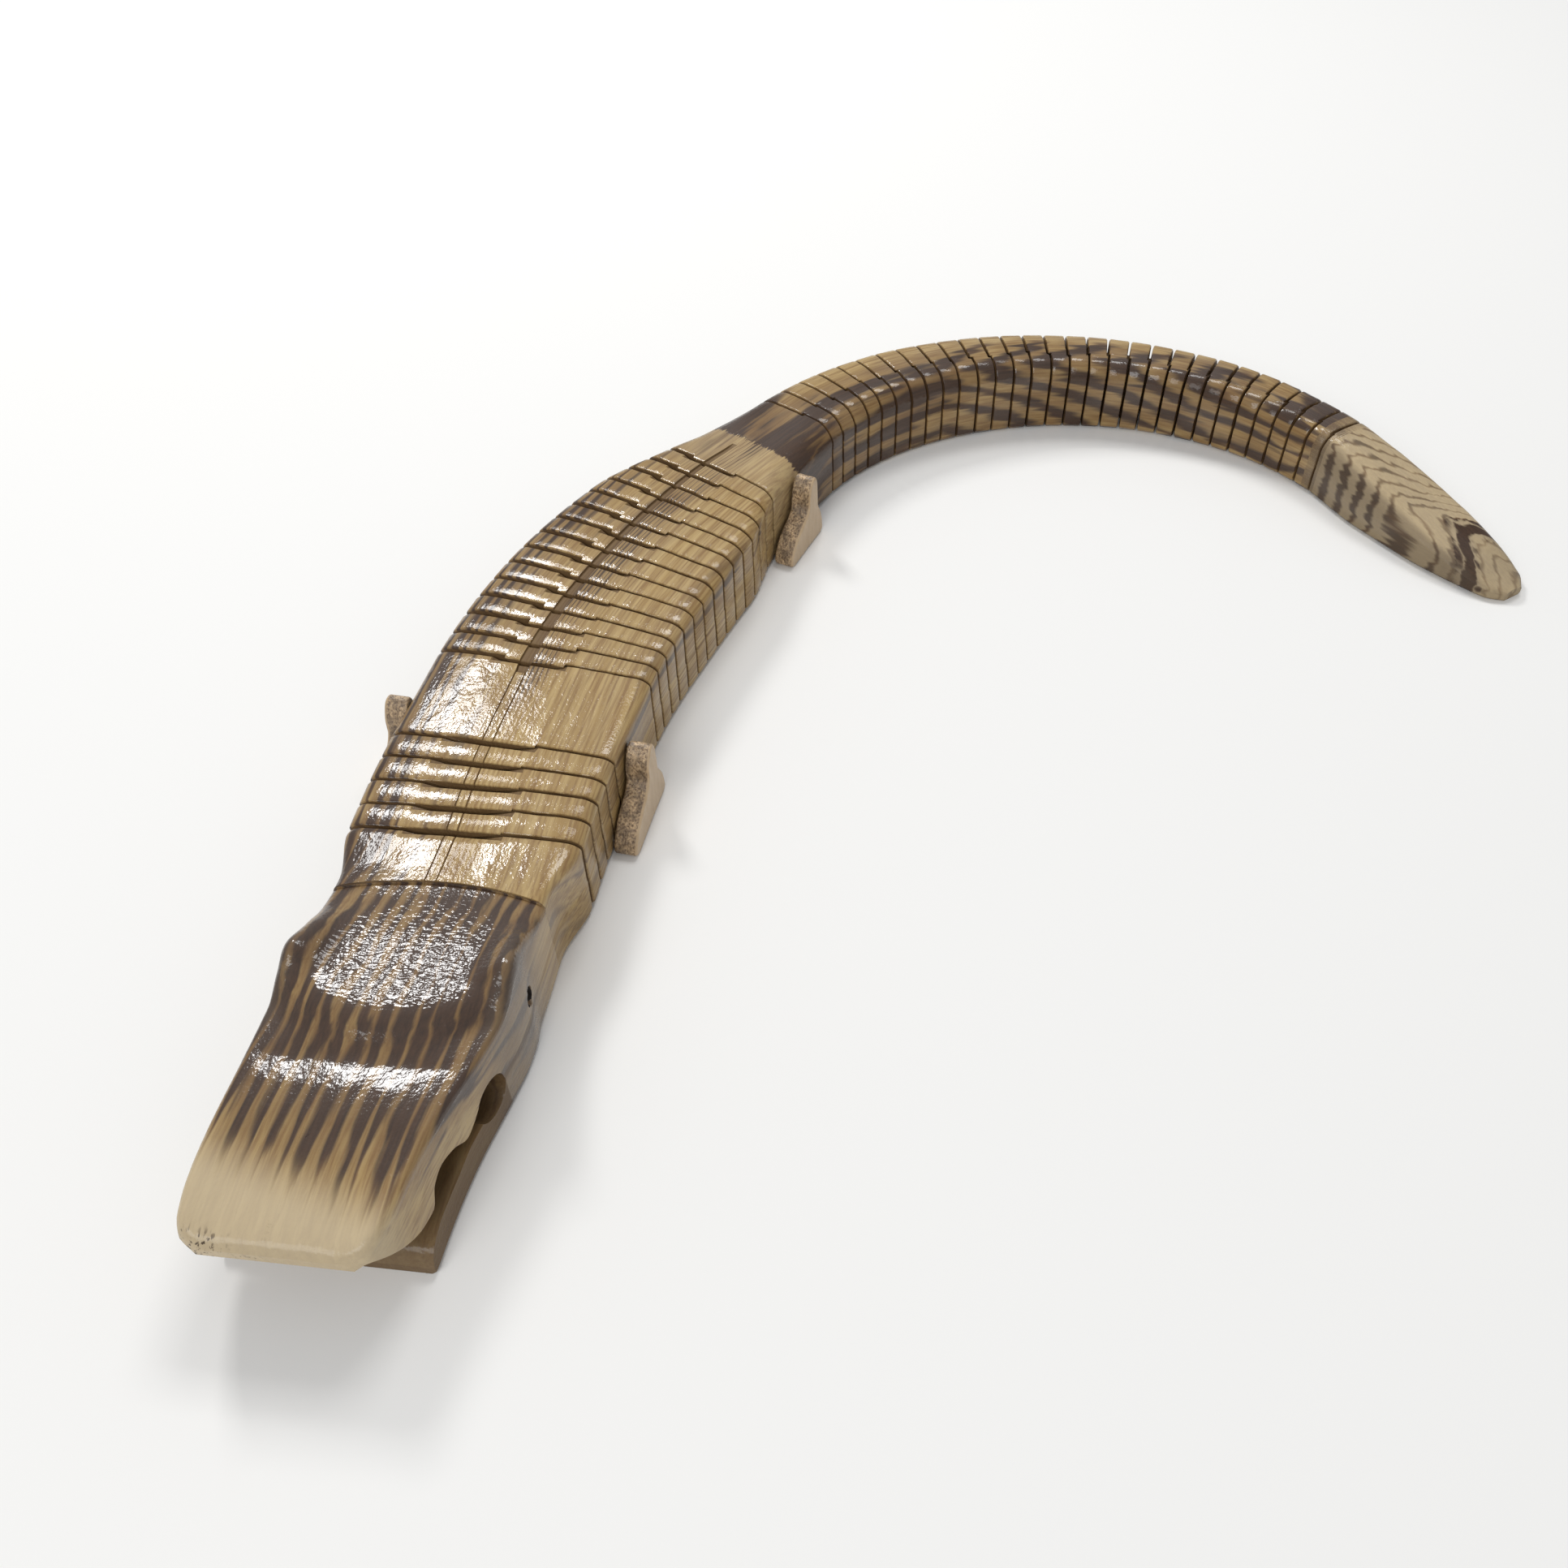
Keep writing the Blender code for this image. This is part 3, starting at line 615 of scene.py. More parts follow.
def bare_and_tooled(place, across):
    """How bare the wood was left, at the nose, the hip and the tip, and how roughly the crown
    of the head was tooled, a round patch behind the brow, and where the nose is chipped."""
    s = (place - NECK) / MM
    y = across / MM
    bare = 1 - ease(-108, -94, s - 0.25 * (y - 8))
    bare = bare + 0.25 * hump(170, 185, 195, 200, s) + 0.8 * ease(440, 455, s)
    tooled = 1 - ease(0.75, 1.15, np.hypot((s + 42) / 19.5, (y + 2) / 26))
    chipped = (1 - ease(-116.5, -113.5, s)) * ease(10, 17, y)
    return np.stack([np.clip(bare, 0, 1), tooled, chipped], -1)


def grey_brown_and_jaw_shade(place, across, up):
    """How far the wood is turned a darker grey-brown: round the eyes, on the inner side of the tip and
    at its end, and, as painted shade, on the lower jaw."""
    s = (place - NECK) / MM
    half = 0.5 * read(1, place)
    round_eye = hump(-72, -58, -42, -24, s) * ease(0.80, 0.97, np.abs(across) / half)
    tip_side = hump(440, 452, 505, 520, s) * ease(0.70, 0.90, -across / half)
    # painted shade: the lower jaw, in front of the mouth's corner and below about 10 mm up, is darkened
    jaw_painted_shade = (1 - ease(-68, -56, s)) * (1 - ease(8, 12, up / MM))
    tip_end = ease(500, 516, s) * ease(0.70, 0.90, np.abs(across) / half)
    at_eye_and_jaw = 0.45 * round_eye + 0.50 * tip_side + 0.45 * jaw_painted_shade
    return at_eye_and_jaw + 0.18 * ease(498, 516, s) + 0.15 * tip_end


def put_in_scene(name, data):
    """New object at the origin that shows a mesh, a lamp or a camera."""
    made = bpy.data.objects.new(name, data)
    bpy.context.scene.collection.objects.link(made)
    return made


def add_mesh(name, points, faces, finish):
    """New object at the origin whose mesh has the given points and faces."""
    data = bpy.data.meshes.new(name)
    data.from_pydata(points.tolist(), [], faces)
    data.materials.append(finish)
    data.shade_smooth()
    data.set_sharp_from_angle(angle=math.radians(38))
    return put_in_scene(name, data)


def store(data, name, values, domain="POINT"):
    """Attribute of a mesh: one number, or three, for each point or each face."""
    is_vector = values.ndim == 2
    layer = data.attributes.new(name, "FLOAT_VECTOR" if is_vector else "FLOAT", domain)
    layer.data.foreach_set("vector" if is_vector else "value", np.ravel(values))


def quads(grid):
    """The four corners of every cell of a grid of point numbers."""
    return np.stack([grid[:-1, :-1], grid[:-1, 1:], grid[1:, 1:], grid[1:, :-1]], -1)


def deepest(depths):
    """Largest depth at the corners of every cell of a grid that closes round the blank."""
    deep = np.maximum(depths[:-1], depths[1:])
    return np.maximum(deep, np.roll(deep, -1, axis=1))


LIP_ROUNDING = 0.42 * MM
SEAM_LINE_DEPTH = 0.35 * MM
GROOVE_DEPTH = 0.6 * MM


def blank_grid():
    """Block, base and kind of each row, place, across and up of each point, and how deep it lies
    in the seam or an eye.

    A point's place is its row's plus the lips' offsets times their pulls. Its across and up are
    the section's there, drawn in by the lip's rounding, lowered by the seam and moved by noise.
    On a kerf's floor they are the section's shrunk to the web.
    """
    block, base, before, behind, kind = row_table()
    toward_head, toward_tail = kerf_lips()
    previous = np.clip(block - 1, 0, len(KERFS) - 1)
    following = np.clip(block, 0, len(KERFS) - 1)
    place = (base[:, None]
             + before[:, None] * toward_tail[previous]
             + behind[:, None] * toward_head[following])
    across, up, half, top = section(place)
    near_neck = ease(0, 1, 1 - np.abs(base - NECK_EDGE) / (15 * MM)) * (block == 0)
    place = place - NECK_BOW * (across / half) ** 2 * near_neck[:, None]
    across, up, half, top = section(place)
    rounded = np.select([kind == LIP_EDGE, kind == LIP_ROUND], [1.0, 0.28], 0.0)
    rounding = LIP_ROUNDING * rounded[:, None]
    across = across * (1 - rounding / half)
    up = 0.5 * top + (up - 0.5 * top) * (1 - 2 * rounding / top)

    # the seam: two fine lines as far as the rear kerfs, one open groove between these kerfs
    column = np.arange(COLUMNS)
    lines = np.isin(column, SEAM_COLUMNS[[1, 4]])
    groove = (column >= SEAM_COLUMNS[1]) & (column <= SEAM_COLUMNS[4])
    in_chest = hump(NECK - 0.019, NECK - 0.017, TRUNK - 0.003, TRUNK, place)
    in_rear = hump(TRUNK - 0.005, TRUNK - 0.004, FLANK + 0.012, FLANK + 0.015, place)
    seam_sunk = SEAM_LINE_DEPTH * in_chest * lines + GROOVE_DEPTH * in_rear * groove
    up = up - seam_sunk
    place, across, up, eye_sunk = eye_hole(place, across, up)

    # the marks of the knife, of the torch's brush, and the planing's long swells
    spots = np.stack([place, across, up], -1)
    carving = lattice_noise(spots, (9 * MM, 6 * MM, 6 * MM), 11) * 0.22 * MM
    brushing = lattice_noise(spots, (2.2 * MM, 1.6 * MM, 1.6 * MM), 12) * 0.07 * MM
    swell = lattice_noise(spots, (26 * MM, 12 * MM, 30 * MM), 14) * 0.22 * MM
    on_top = (ZONES == TOP) | (ZONES == SHOULDER)
    up = np.where(on_top, up - 0.22 * MM + 0.5 * carving + brushing + swell, up)
    across = np.where(ZONES == UPPER, across - SIDES * (0.15 * MM + 0.5 * carving), across)

    in_web = (kind == INNER)[:, None]
    webs = np.where(before > 0.5, WEBS[previous], WEBS[following])[:, None]
    narrow = 0.5 * WEB_WIDTH / half
    low = (top - WEB_TOP_DEPTH - WEB_UNDER_DEPTH) / top
    across = np.where(in_web, webs + across * narrow, across)
    up = np.where(in_web, WEB_UNDER_DEPTH + up * low, up)
    across = np.where(in_web, np.clip(across, webs - 3 * MM, webs + 3 * MM), across)
    return block, base, kind, np.stack([place, across, up], -1), seam_sunk, eye_sunk


# How much a face has the colour of a saw cut; the eyes have 1, which is near black. The lower jaw's faces
# get the saw cut's colour too, as painted shade
KERF_CUT = 0.85
SEAM_CUT = 0.8
# painted shade: the lower jaw's faces and its end face take this share of the saw cut's colour
JAW_PAINTED_SHADE = 0.75
MOUTH_BACK_CUT = 0.7
MOUTH_CUT = 0.6
MOUTH_COLUMNS = 16


def cut_shares(base, kind, seam_sunk, eye_sunk, corner_row):
    """Share of a saw cut's colour on each face of the shell: the largest of what the kerfs, the
    seam and the eyes give it, and the painted shade that darkens the lower jaw."""
    in_kerf = ((kind[:-1] == INNER) | (kind[1:] == INNER)) & (base[:-1] == base[1:])
    cut = np.where(in_kerf, KERF_CUT, 0.0)[:, None] + np.zeros(COLUMNS)
    cut = np.maximum(cut, np.clip(deepest(seam_sunk) / GROOVE_DEPTH, 0, SEAM_CUT))
    cut = np.maximum(cut, np.clip(deepest(eye_sunk) / (1.2 * MM), 0, 1))
    # painted shade: the lower jaw's underside and walls in front of the mouth's corner are darkened
    jaw_row = (np.arange(len(base) - 1) < corner_row)[:, None]
    jaw = jaw_row & ((ZONES == LOWER) | (ZONES == BOTTOM))
    return np.where(jaw, np.maximum(cut, JAW_PAINTED_SHADE), cut)


def lip_to_lip(spots, lips):
    """Lines across the mouth: right lip + t * (left lip - right lip), with t evenly spaced."""
    t = np.linspace(0, 1, MOUTH_COLUMNS + 2)[1:-1, None]
    right, left = (spots[:, lip, None] for lip in lips)
    return right + t * (left - right)


def build_blank():
    """Points in place, the same in the blank's own coordinates, faces, and the faces' cut shares.

    A grid of rows and columns is the shell. The mouth's roof and floor are two more grids from
    lip to lip, joined at the mouth's corner, and one face closes each end.
    """
    block, base, kind, spots, seam_sunk, eye_sunk = blank_grid()
    rows = len(block)
    number = np.arange(rows * COLUMNS).reshape(rows, COLUMNS)
    lip_places = spots[:, UPPER_LIP[0], 0]
    corner_row = int(np.argmin(np.abs(lip_places - MOUTH_BACK)))
    jaw_row = int(np.argmin(np.abs(lip_places - LOWER_JAW_SET_BACK)))

    first, linings, grids = number.size, [], []
    for start, lips in ((0, UPPER_LIP), (jaw_row, LOWER_LIP)):
        lining = lip_to_lip(spots[start:corner_row + 1], lips)
        inner = first + np.arange(lining[..., 0].size).reshape(lining.shape[:2])
        right, left = (number[start:corner_row + 1, lip, None] for lip in lips)
        first += inner.size
        linings.append(lining)
        grids.append(np.hstack([right, inner, left]))
    roof, tongue = grids

    shell = quads(np.hstack([number, number[:, :1]]))
    keep = np.ones(shell.shape[:2], bool)
    keep[:corner_row, LOWER_LIP[0]] = False
    keep[:corner_row, UPPER_LIP[1]] = False
    keep[:jaw_row, :LOWER_LIP[0] + 1] = False
    keep[:jaw_row, UPPER_LIP[1]:] = False
    shell_cuts = cut_shares(base, kind, seam_sunk, eye_sunk, corner_row)
    roof_quads = quads(roof).reshape(-1, 4)[:, ::-1]
    tongue_quads = quads(tongue).reshape(-1, 4)
    behind_quads = quads(np.stack([tongue[-1], roof[-1]])).reshape(-1, 4)
    all_quads = np.concatenate([shell[keep], roof_quads, tongue_quads, behind_quads])

    upper_loop = np.arange(UPPER_LIP[0], UPPER_LIP[1] + 1)
    lower_loop = np.roll(np.arange(COLUMNS), -LOWER_LIP[1])[:COLUMNS - len(upper_loop)]
    nose_end = np.concatenate([number[0, upper_loop], roof[0, -2:0:-1]])[::-1]
    jaw_end = np.concatenate([number[jaw_row, lower_loop], tongue[0, 1:-1]])[::-1]
    ends = [nose_end, jaw_end, number[-1]]
    # the end face of the lower jaw gets the lower jaw's painted shade
    cuts = np.concatenate([
        shell_cuts[keep], np.full(len(roof_quads) + len(tongue_quads), MOUTH_CUT),
        np.full(len(behind_quads), MOUTH_BACK_CUT), [0.0, JAW_PAINTED_SHADE, 0.0]])

    blank = np.concatenate([grid.reshape(-1, 3) for grid in (spots, *linings)])
    blocks = np.zeros(len(blank), int)
    blocks[:number.size] = np.repeat(block, COLUMNS)
    used = np.zeros(len(blank), bool)
    used[np.concatenate([all_quads.ravel(), *ends])] = True
    renumber = np.cumsum(used) - 1
    faces = renumber[all_quads].tolist() + [renumber[end].tolist() for end in ends]
    blank, blocks = blank[used], blocks[used]
    points = lay_on_spine(blank[:, 0], blocks, blank[:, 1], blank[:, 2])
    return points, blank, faces, cuts


def dress_blank(finish):
    """The blank's mesh moved over the CAD body, with the fields that its finish reads."""
    points, blank, faces, cuts = build_blank()
    low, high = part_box("body")
    middle = 0.5 * (points[:, :2].min(0) + points[:, :2].max(0))
    cad_middle = 0.5 * (np.array(low[:2]) + np.array(high[:2]))
    points[:, :2] += cad_middle - middle
    made = add_mesh("scorched_blank", points, faces, finish)
    place, across, up = blank.T
    for name, values in (
        ("blank", blank - np.array([NECK, 0, 0])),
        ("borders", borders(place, across)),
        ("rings", ring_fields(place, across, up)),
        ("tail_rings", tail_rings(place, across, up)),
        ("scorch", scorch_fields(place, across, up)),
        ("bare_and_tooled", bare_and_tooled(place, across)),
        ("grey_brown_and_jaw_shade", grey_brown_and_jaw_shade(place, across, up)),
    ):
        store(made.data, name, values)
    store(made.data, "cut", cuts, "FACE")
    return made, cad_middle - middle


# Outline of a leg, as shares of its foot's length and its height, from the heel along the sole
LEG_OUTLINE = np.array([
    (0.00, 0.00), (0.50, 0.00), (0.95, 0.00), (1.00, 0.12), (0.88, 0.30), (0.70, 0.42),
    (0.50, 0.52), (0.40, 0.64), (0.38, 0.82), (0.28, 0.98), (0.16, 0.96), (0.12, 0.74),
    (0.10, 0.52), (0.00, 0.34), (-0.05, 0.14),
])
LEG_THICKNESS = 0.007
LEG_EDGE_RADIUS = 0.9 * MM
GLUE_GAP = 0.0003


def closed_curve(knots, steps):
    """Smooth closed curve through the knots. From b to c, with a before and d after them, it is
    half of 2b + (c - a)t + (2a - 5b + 4c - d)t^2 + (3b - a - 3c + d)t^3."""
    a, b, c, d = (np.roll(knots, k, axis=0)[:, None, :] for k in (1, 0, -1, -2))
    t = (np.arange(steps) / steps)[None, :, None]
    curve = 0.5 * (2 * b + (c - a) * t + (2 * a - 5 * b + 4 * c - d) * t ** 2
                   + (3 * b - a - 3 * c + d) * t ** 3)
    return curve.reshape(-1, 2)


def wall_reach(origin, forward, outwards, heel, foot):
    """How far the blank's wall stands out from the origin along the length of a foot."""
    places = np.arange(heel - 2 * foot, heel + foot, 0.5 * MM)
    blocks = np.searchsorted(KERFS, places, side="right")
    reach = 0.0
    for edge in (-0.5, 0.5):
        wall = lay_on_spine(places, blocks, edge * read(1, places), 0)[:, :2] - origin
        along = wall @ forward
        beside = (along > -0.1 * foot) & (along < 1.1 * foot)
        reach = max(reach, float((wall @ outwards)[beside].max()))
    return reach


def build_leg(name, side, heel, foot, height, offset, finish):
    """Board beside the blank: each ring is the outline drawn in towards its middle by what a
    profile says, which goes from the middle of the inner face, round the edge with a small
    radius, to the middle of the outer face."""
    start, x, y, heading = STARTS[int(np.sum(KERFS <= heel))]
    drop = 0.5 * (read(1, heel - foot) - read(1, heel))
    ahead = heel - start
    origin = np.array([x + ahead * math.cos(heading), y + ahead * math.sin(heading)])
    heading += math.pi + side * math.atan2(drop, foot)
    forward = np.array([math.cos(heading), math.sin(heading)])
    outwards = side * np.array([-forward[1], forward[0]])
    reach = wall_reach(origin, forward, outwards, heel, foot)

    outline = closed_curve(LEG_OUTLINE, 8) * np.array([foot, height])
    outline[:, 1] = np.maximum(outline[:, 1], 0)
    middle = np.array([0.42 * foot, 0.34 * height])
    turn = np.linspace(0, 0.5 * math.pi, 6)
    inward = np.concatenate([[6 * MM, 2.5 * MM], LEG_EDGE_RADIUS * (1 - np.sin(turn))])
    through = np.concatenate([[0, 0], LEG_EDGE_RADIUS * (1 - np.cos(turn))])
    inward = np.concatenate([inward, inward[::-1]])
    through = np.concatenate([through, LEG_THICKNESS - through[::-1]])
    spoke = outline - middle
    far = np.linalg.norm(spoke, axis=1)
    shrink = 1 - inward[:, None] / far[None, :]
    ring = middle + spoke[None, :, :] * np.clip(shrink, 0.1, 1)[:, :, None]
    along, up = ring[..., 0], np.maximum(ring[..., 1], 0)
    out = reach + GLUE_GAP + through[:, None] + 0 * along

    # the sawn edge ripples inwards by up to 0.12 mm
    spots = np.stack([along, up, out + 3 * heel], -1)
    on_edge = (inward < 0.8 * MM)[:, None]
    ripple = lattice_noise(spots, (3 * MM, 3 * MM, 3 * MM), 21) * 0.12 * MM
    swell = 1 - np.where(on_edge, np.abs(ripple), 0)[..., None] / far[None, :, None]
    flat_points = middle + (np.stack([along, up], -1) - middle) * swell
    along, up = flat_points[..., 0], np.maximum(flat_points[..., 1], 0)

    points = (origin + offset)[None, None, :] + along[..., None] * forward + out[..., None] * outwards
    points = np.concatenate([points, up[..., None]], -1)
    number = np.arange(along.size).reshape(along.shape)
    # on the animal's right the outline runs round the other way, so each face is turned over
    walls = quads(np.hstack([number, number[:, :1]])).reshape(-1, 4)[:, ::-side]
    ends = [number[0, ::-1][::-side].tolist(), number[-1][::-side].tolist()]
    made = add_mesh(name, points.reshape(-1, 3), walls.tolist() + ends, finish)
    local = np.stack([along, up, through[:, None] + 0 * along], -1)
    store(made.data, "leg", local.reshape(-1, 3))
    return made


def linear(text):
    """Linear colour of an sRGB hex string: v/12.92, or ((v + 0.055)/1.055)^2.4 above 0.04045."""
    values = [int(text[k:k + 2], 16) / 255 for k in (1, 3, 5)]
    return [v / 12.92 if v <= 0.04045 else ((v + 0.055) / 1.055) ** 2.4 for v in values] + [1.0]


def new_finish(name, constants):
    """Material with constants on its shader's own sockets, its node tree and its shader."""
    made = bpy.data.materials.new(name)
    made.use_nodes = True
    shader = made.node_tree.nodes["Principled BSDF"]
    for socket, value in constants.items():
        shader.inputs[socket].default_value = value
    return made, made.node_tree, shader


# Kinds of nodes, each with its settings
PLUS = ("Math", {"operation": "ADD"})
MINUS = ("Math", {"operation": "SUBTRACT"})
TIMES = ("Math", {"operation": "MULTIPLY"})
TIMES_PLUS = ("Math", {"operation": "MULTIPLY_ADD"})
LARGER = ("Math", {"operation": "MAXIMUM"})
SIZE_OF = ("Math", {"operation": "ABSOLUTE"})
FRACTION = ("Math", {"operation": "FRACT"})
EASE = ("MapRange", {"interpolation_type": "SMOOTHSTEP"})
RANGE = ("MapRange", {})
MIX = ("Mix", {})
BLEND = ("Mix", {"data_type": "RGBA"})
XYZ = ("SeparateXYZ", {})
PLACED = ("Mapping", {})
NOISE = ("TexNoise", {})
BUMP = ("Bump", {})
NO_TURN = (0, 0, 0)
BUMP_FILTER = 0.1


def add(tree, kind, *inputs):
    """Node of a kind, with its settings, whose open inputs are given values, hex colours or
    sockets in their order; gives back its first open output."""
    made = tree.nodes.new("ShaderNode" + kind[0])
    for name, value in kind[1].items():
        setattr(made, name, value)
    open_inputs = [socket for socket in made.inputs if socket.enabled]
    for socket, value in zip(open_inputs, inputs):
        if isinstance(value, bpy.types.NodeSocket):
            tree.links.new(value, socket)
        else:
            socket.default_value = linear(value) if isinstance(value, str) else value
    return next(socket for socket in made.outputs if socket.enabled)


def by_region(node, masks, values):
    """Value of the region that a spot lies in: tail, else head, else the trunk's half."""
    past_neck, left, past_ridge = masks
    half = node(MIX, left, values[1], values[2])
    front = node(MIX, past_neck, half, values[0])
    return node(MIX, past_ridge, front, values[3])


def scorched_pine():
    """Torch-scorched pine under gloss varnish: the torch browns the soft part of every ring and
    leaves the hard part honey, and the varnish lies thick over brushed grain."""
    made, tree, shader = new_finish("torch-scorched pine, varnished", {
        "Roughness": 0.62, "Specular IOR Level": 0.3, "Coat Roughness": 0.12})
    node = partial(add, tree)
    fields, parts = {}, {}
    for name in ("blank", "cut", "tail_rings", "grey_brown_and_jaw_shade", "borders", "rings", "scorch", "bare_and_tooled"):
        fields[name] = node(("Attribute", {"attribute_name": name})).node.outputs
    for name in ("borders", "rings", "scorch", "bare_and_tooled"):
        parts[name] = node(XYZ, fields[name]["Vector"]).node.outputs

    # cells of each noise in millimetres along, across and up the blank, its detail and its shift
    noises = []
    for cells, detail, shift in (
        ((18, 0.8, 0.8), 3.0, (0, 0, 0)),
        ((24, 9, 9), 2.0, (3, 1, 2)),
        ((40, 14, 14), 3.0, (0, 0, 0)),
        ((80, 3.2, 3.2), 1.0, (7, 2, 9)),
        ((1.2, 0.9, 0.9), 1.5, (0, 0, 0)),
        ((1.0, 2.0, 2.0), 1.0, (5, 5, 5)),
        ((34, 11, 11), 1.0, (4, 8, 1)),
    ):
        scale = [1000 / size for size in cells]
        spots = node(PLACED, fields["blank"]["Vector"], shift, NO_TURN, scale)
        noises.append(node(NOISE, spots, 1.0, detail, 0.55))
    fibre, blotch, wander, streak, beads, marks, pools = noises

    neck, seam, ridge = parts["borders"]
    past_neck = node(EASE, neck, 0.0, 0.0002)
    left = node(EASE, seam, 0.0, 0.0002)
    past_ridge = node(EASE, node(TIMES_PLUS, fibre, 0.006, ridge), 0.0027, 0.0037)
    masks = (past_neck, left, past_ridge)

    # the rings, which wander along the grain
    rings = by_region(node, masks, [*parts["rings"], fields["tail_rings"]["Fac"]])
    stray = node(TIMES, wander, node(TIMES_PLUS, past_ridge, -0.35, 1.0))
    rings = node(TIMES_PLUS, streak, 0.9, node(PLUS, rings, stray))
    rings = node(TIMES_PLUS, fibre, 0.22, rings)
    from_middle = node(SIZE_OF, node(TIMES_PLUS, node(FRACTION, rings), 2.0, -1.0))

    # the torch reaches in blotches a few centimetres long
    head, trunk, tail = parts["scorch"]
    reach = by_region(node, masks, [head, trunk, trunk, tail])
    present = node(EASE, reach, 0.02, 0.36)
    uneven = node(TIMES, node(TIMES_PLUS, blotch, 1.0, -0.5), present)
    streaks = node(TIMES_PLUS, streak, 1.0, -0.5)
    level = node(TIMES_PLUS, streaks, 0.45, node(PLUS, reach, uneven))
    burnt = node(TIMES, node(EASE, node(MINUS, level, from_middle), -0.28, 0.22), present)

    # honey wood, its fibres, where the torch only toasted it, and where it was sanded bare
    honey = node(BLEND, from_middle, "#BCA16D", "#A48653")
    fibres = node(RANGE, fibre, 0.42, 0.66, 0.0, 0.72)
    toasted = node(RANGE, level, 0.05, 0.8, 0.0, 0.80)
    bare, tooled, chipped = parts["bare_and_tooled"]
    sanded = node(TIMES_PLUS, bare, 0.8, 0.0)
    for share, colour in ((fibres, "#7E5C34"), (toasted, "#684A29"), (sanded, "#C2B192")):
        honey = node(BLEND, share, honey, colour)

    # char, grey-brown darkening that is painted shade on the lower jaw, dark specks where the nose is
    # chipped, the saw cuts and the dark of the eyes
    char = node(BLEND, fibre, "#271B12", "#523926")
    char = node(BLEND, node(EASE, level, 0.05, 0.42), "#6E4F30", char)
    wood = node(BLEND, burnt, honey, char)
    # grey-brown darkening; on the lower jaw it is painted shade
    grey_brown_and_jaw_shade_share = fields["grey_brown_and_jaw_shade"]["Fac"]
    # dark specks where the nose is chipped
    chips = node(TIMES, chipped, node(EASE, fibre, 0.55, 0.65))
    # the saw cuts' colour, which on the lower jaw is painted shade
    cut = fields["cut"]["Fac"]
    hole = node(EASE, cut, 0.86, 1.0)
    for share, colour in (
            (grey_brown_and_jaw_shade_share, "#55483A"), (chips, "#4A3A28"), (cut, "#624A2F"), (hole, "#231912")):
        wood = node(BLEND, share, wood, colour)
    tree.links.new(wood, shader.inputs["Base Color"])

    # relief: brushed rings and fibres; over them varnish in beads about 1 mm across, and on
    # the crown of the head the marks of the tool, 1 mm along and 2 mm across
    relief = node(TIMES_PLUS, fibre, 0.3, node(TIMES_PLUS, from_middle, 0.25, beads))
    coat_relief = node(TIMES_PLUS, from_middle, 0.15, beads)
    coat_relief = node(TIMES_PLUS, node(TIMES, marks, tooled), 2.8, coat_relief)
    under = node(BUMP, 0.4, 0.00025, BUMP_FILTER, relief)
    coat = node(BUMP, 0.6, 0.00015, BUMP_FILTER, coat_relief)
    tree.links.new(under, shader.inputs["Normal"])
    tree.links.new(coat, shader.inputs["Coat Normal"])

    # varnish in pools, thick on the head, thin where the wood was left bare, none in the cuts and less on
    # the lower jaw's painted shade
    pools = node(RANGE, pools, 0.36, 0.62, 0.28, 0.95)
    varnish = node(LARGER, node(TIMES_PLUS, past_neck, 0.92, 0.0), pools)
    varnish = node(TIMES_PLUS, bare, -0.6, varnish)
    varnish = node(TIMES_PLUS, cut, -0.85, varnish)
    tree.links.new(varnish, shader.inputs["Coat Weight"])
    return made


def leg_wood():
    """Thin pine board with rough edges that the torch browned in patches, which makes them look
    coarse and speckled, and with pale sanded faces, all under a thin varnish."""
    made, tree, shader = new_finish("pine board with scorched edges, varnished", {
        "Roughness": 0.5, "Coat Weight": 0.45, "Coat Roughness": 0.25})
    node = partial(add, tree)
    leg = node(("Attribute", {"attribute_name": "leg"})).node.outputs["Vector"]
    through = node(XYZ, leg).node.outputs["Z"]

    # cells of each noise per metre along, up and through the board, its detail and roughness
    noises = []
    for scale, detail, roughness in (
        ((1500, 1000, 1500), 3.0, 0.6),
        ((420, 90, 300), 2.0, 0.5),
        ((330, 220, 330), 3.0, 0.5),
    ):
        spots = node(PLACED, leg, (0, 0, 0), NO_TURN, scale)
        noises.append(node(NOISE, spots, 1.0, detail, roughness))
    fine, grain, patch = noises

    rough = node(BLEND, node(RANGE, fine, 0.36, 0.62), "#735B42", "#D6B78E")
    patch = node(RANGE, patch, 0.40, 0.62, 0.0, 0.65)
    rough = node(BLEND, patch, rough, "#4A3A2A")
    pale = node(BLEND, grain, "#CBB18E", "#AF926C")
    wood = node(BLEND, node(EASE, through, 0.0061, 0.0066), rough, pale)
    tree.links.new(wood, shader.inputs["Base Color"])
    bump = node(BUMP, 0.6, 0.0005, BUMP_FILTER, fine)
    tree.links.new(bump, shader.inputs["Normal"])
    tree.links.new(bump, shader.inputs["Coat Normal"])
    return made


def plain_floor():
    """Matt pale paper floor, large enough to fill every view."""
    made = new_finish("pale paper backdrop", {"Base Color": linear("#F2F1EE"), "Roughness": 0.9})[0]
    size, low = 6.0, -0.2 * MM
    points = np.array([(-size, -size, low), (size, -size, low), (size, size, low), (-size, size, low)])
    floor = add_mesh("floor", points, [[0, 1, 2, 3]], made)


def softbox(name, spot, target, size, watts):
    """Rectangular area light at a spot, turned to face the target."""
    lamp = bpy.data.lights.new(name, "AREA")
    lamp.shape = "RECTANGLE"
    lamp.size, lamp.size_y = size
    lamp.energy = watts
    made = put_in_scene(name, lamp)
    spot, target = Vector(spot), Vector(target)
    turn = (target - spot).to_track_quat("-Z", "Y").to_matrix().to_4x4()
    made.matrix_world = Matrix.Translation(spot) @ turn


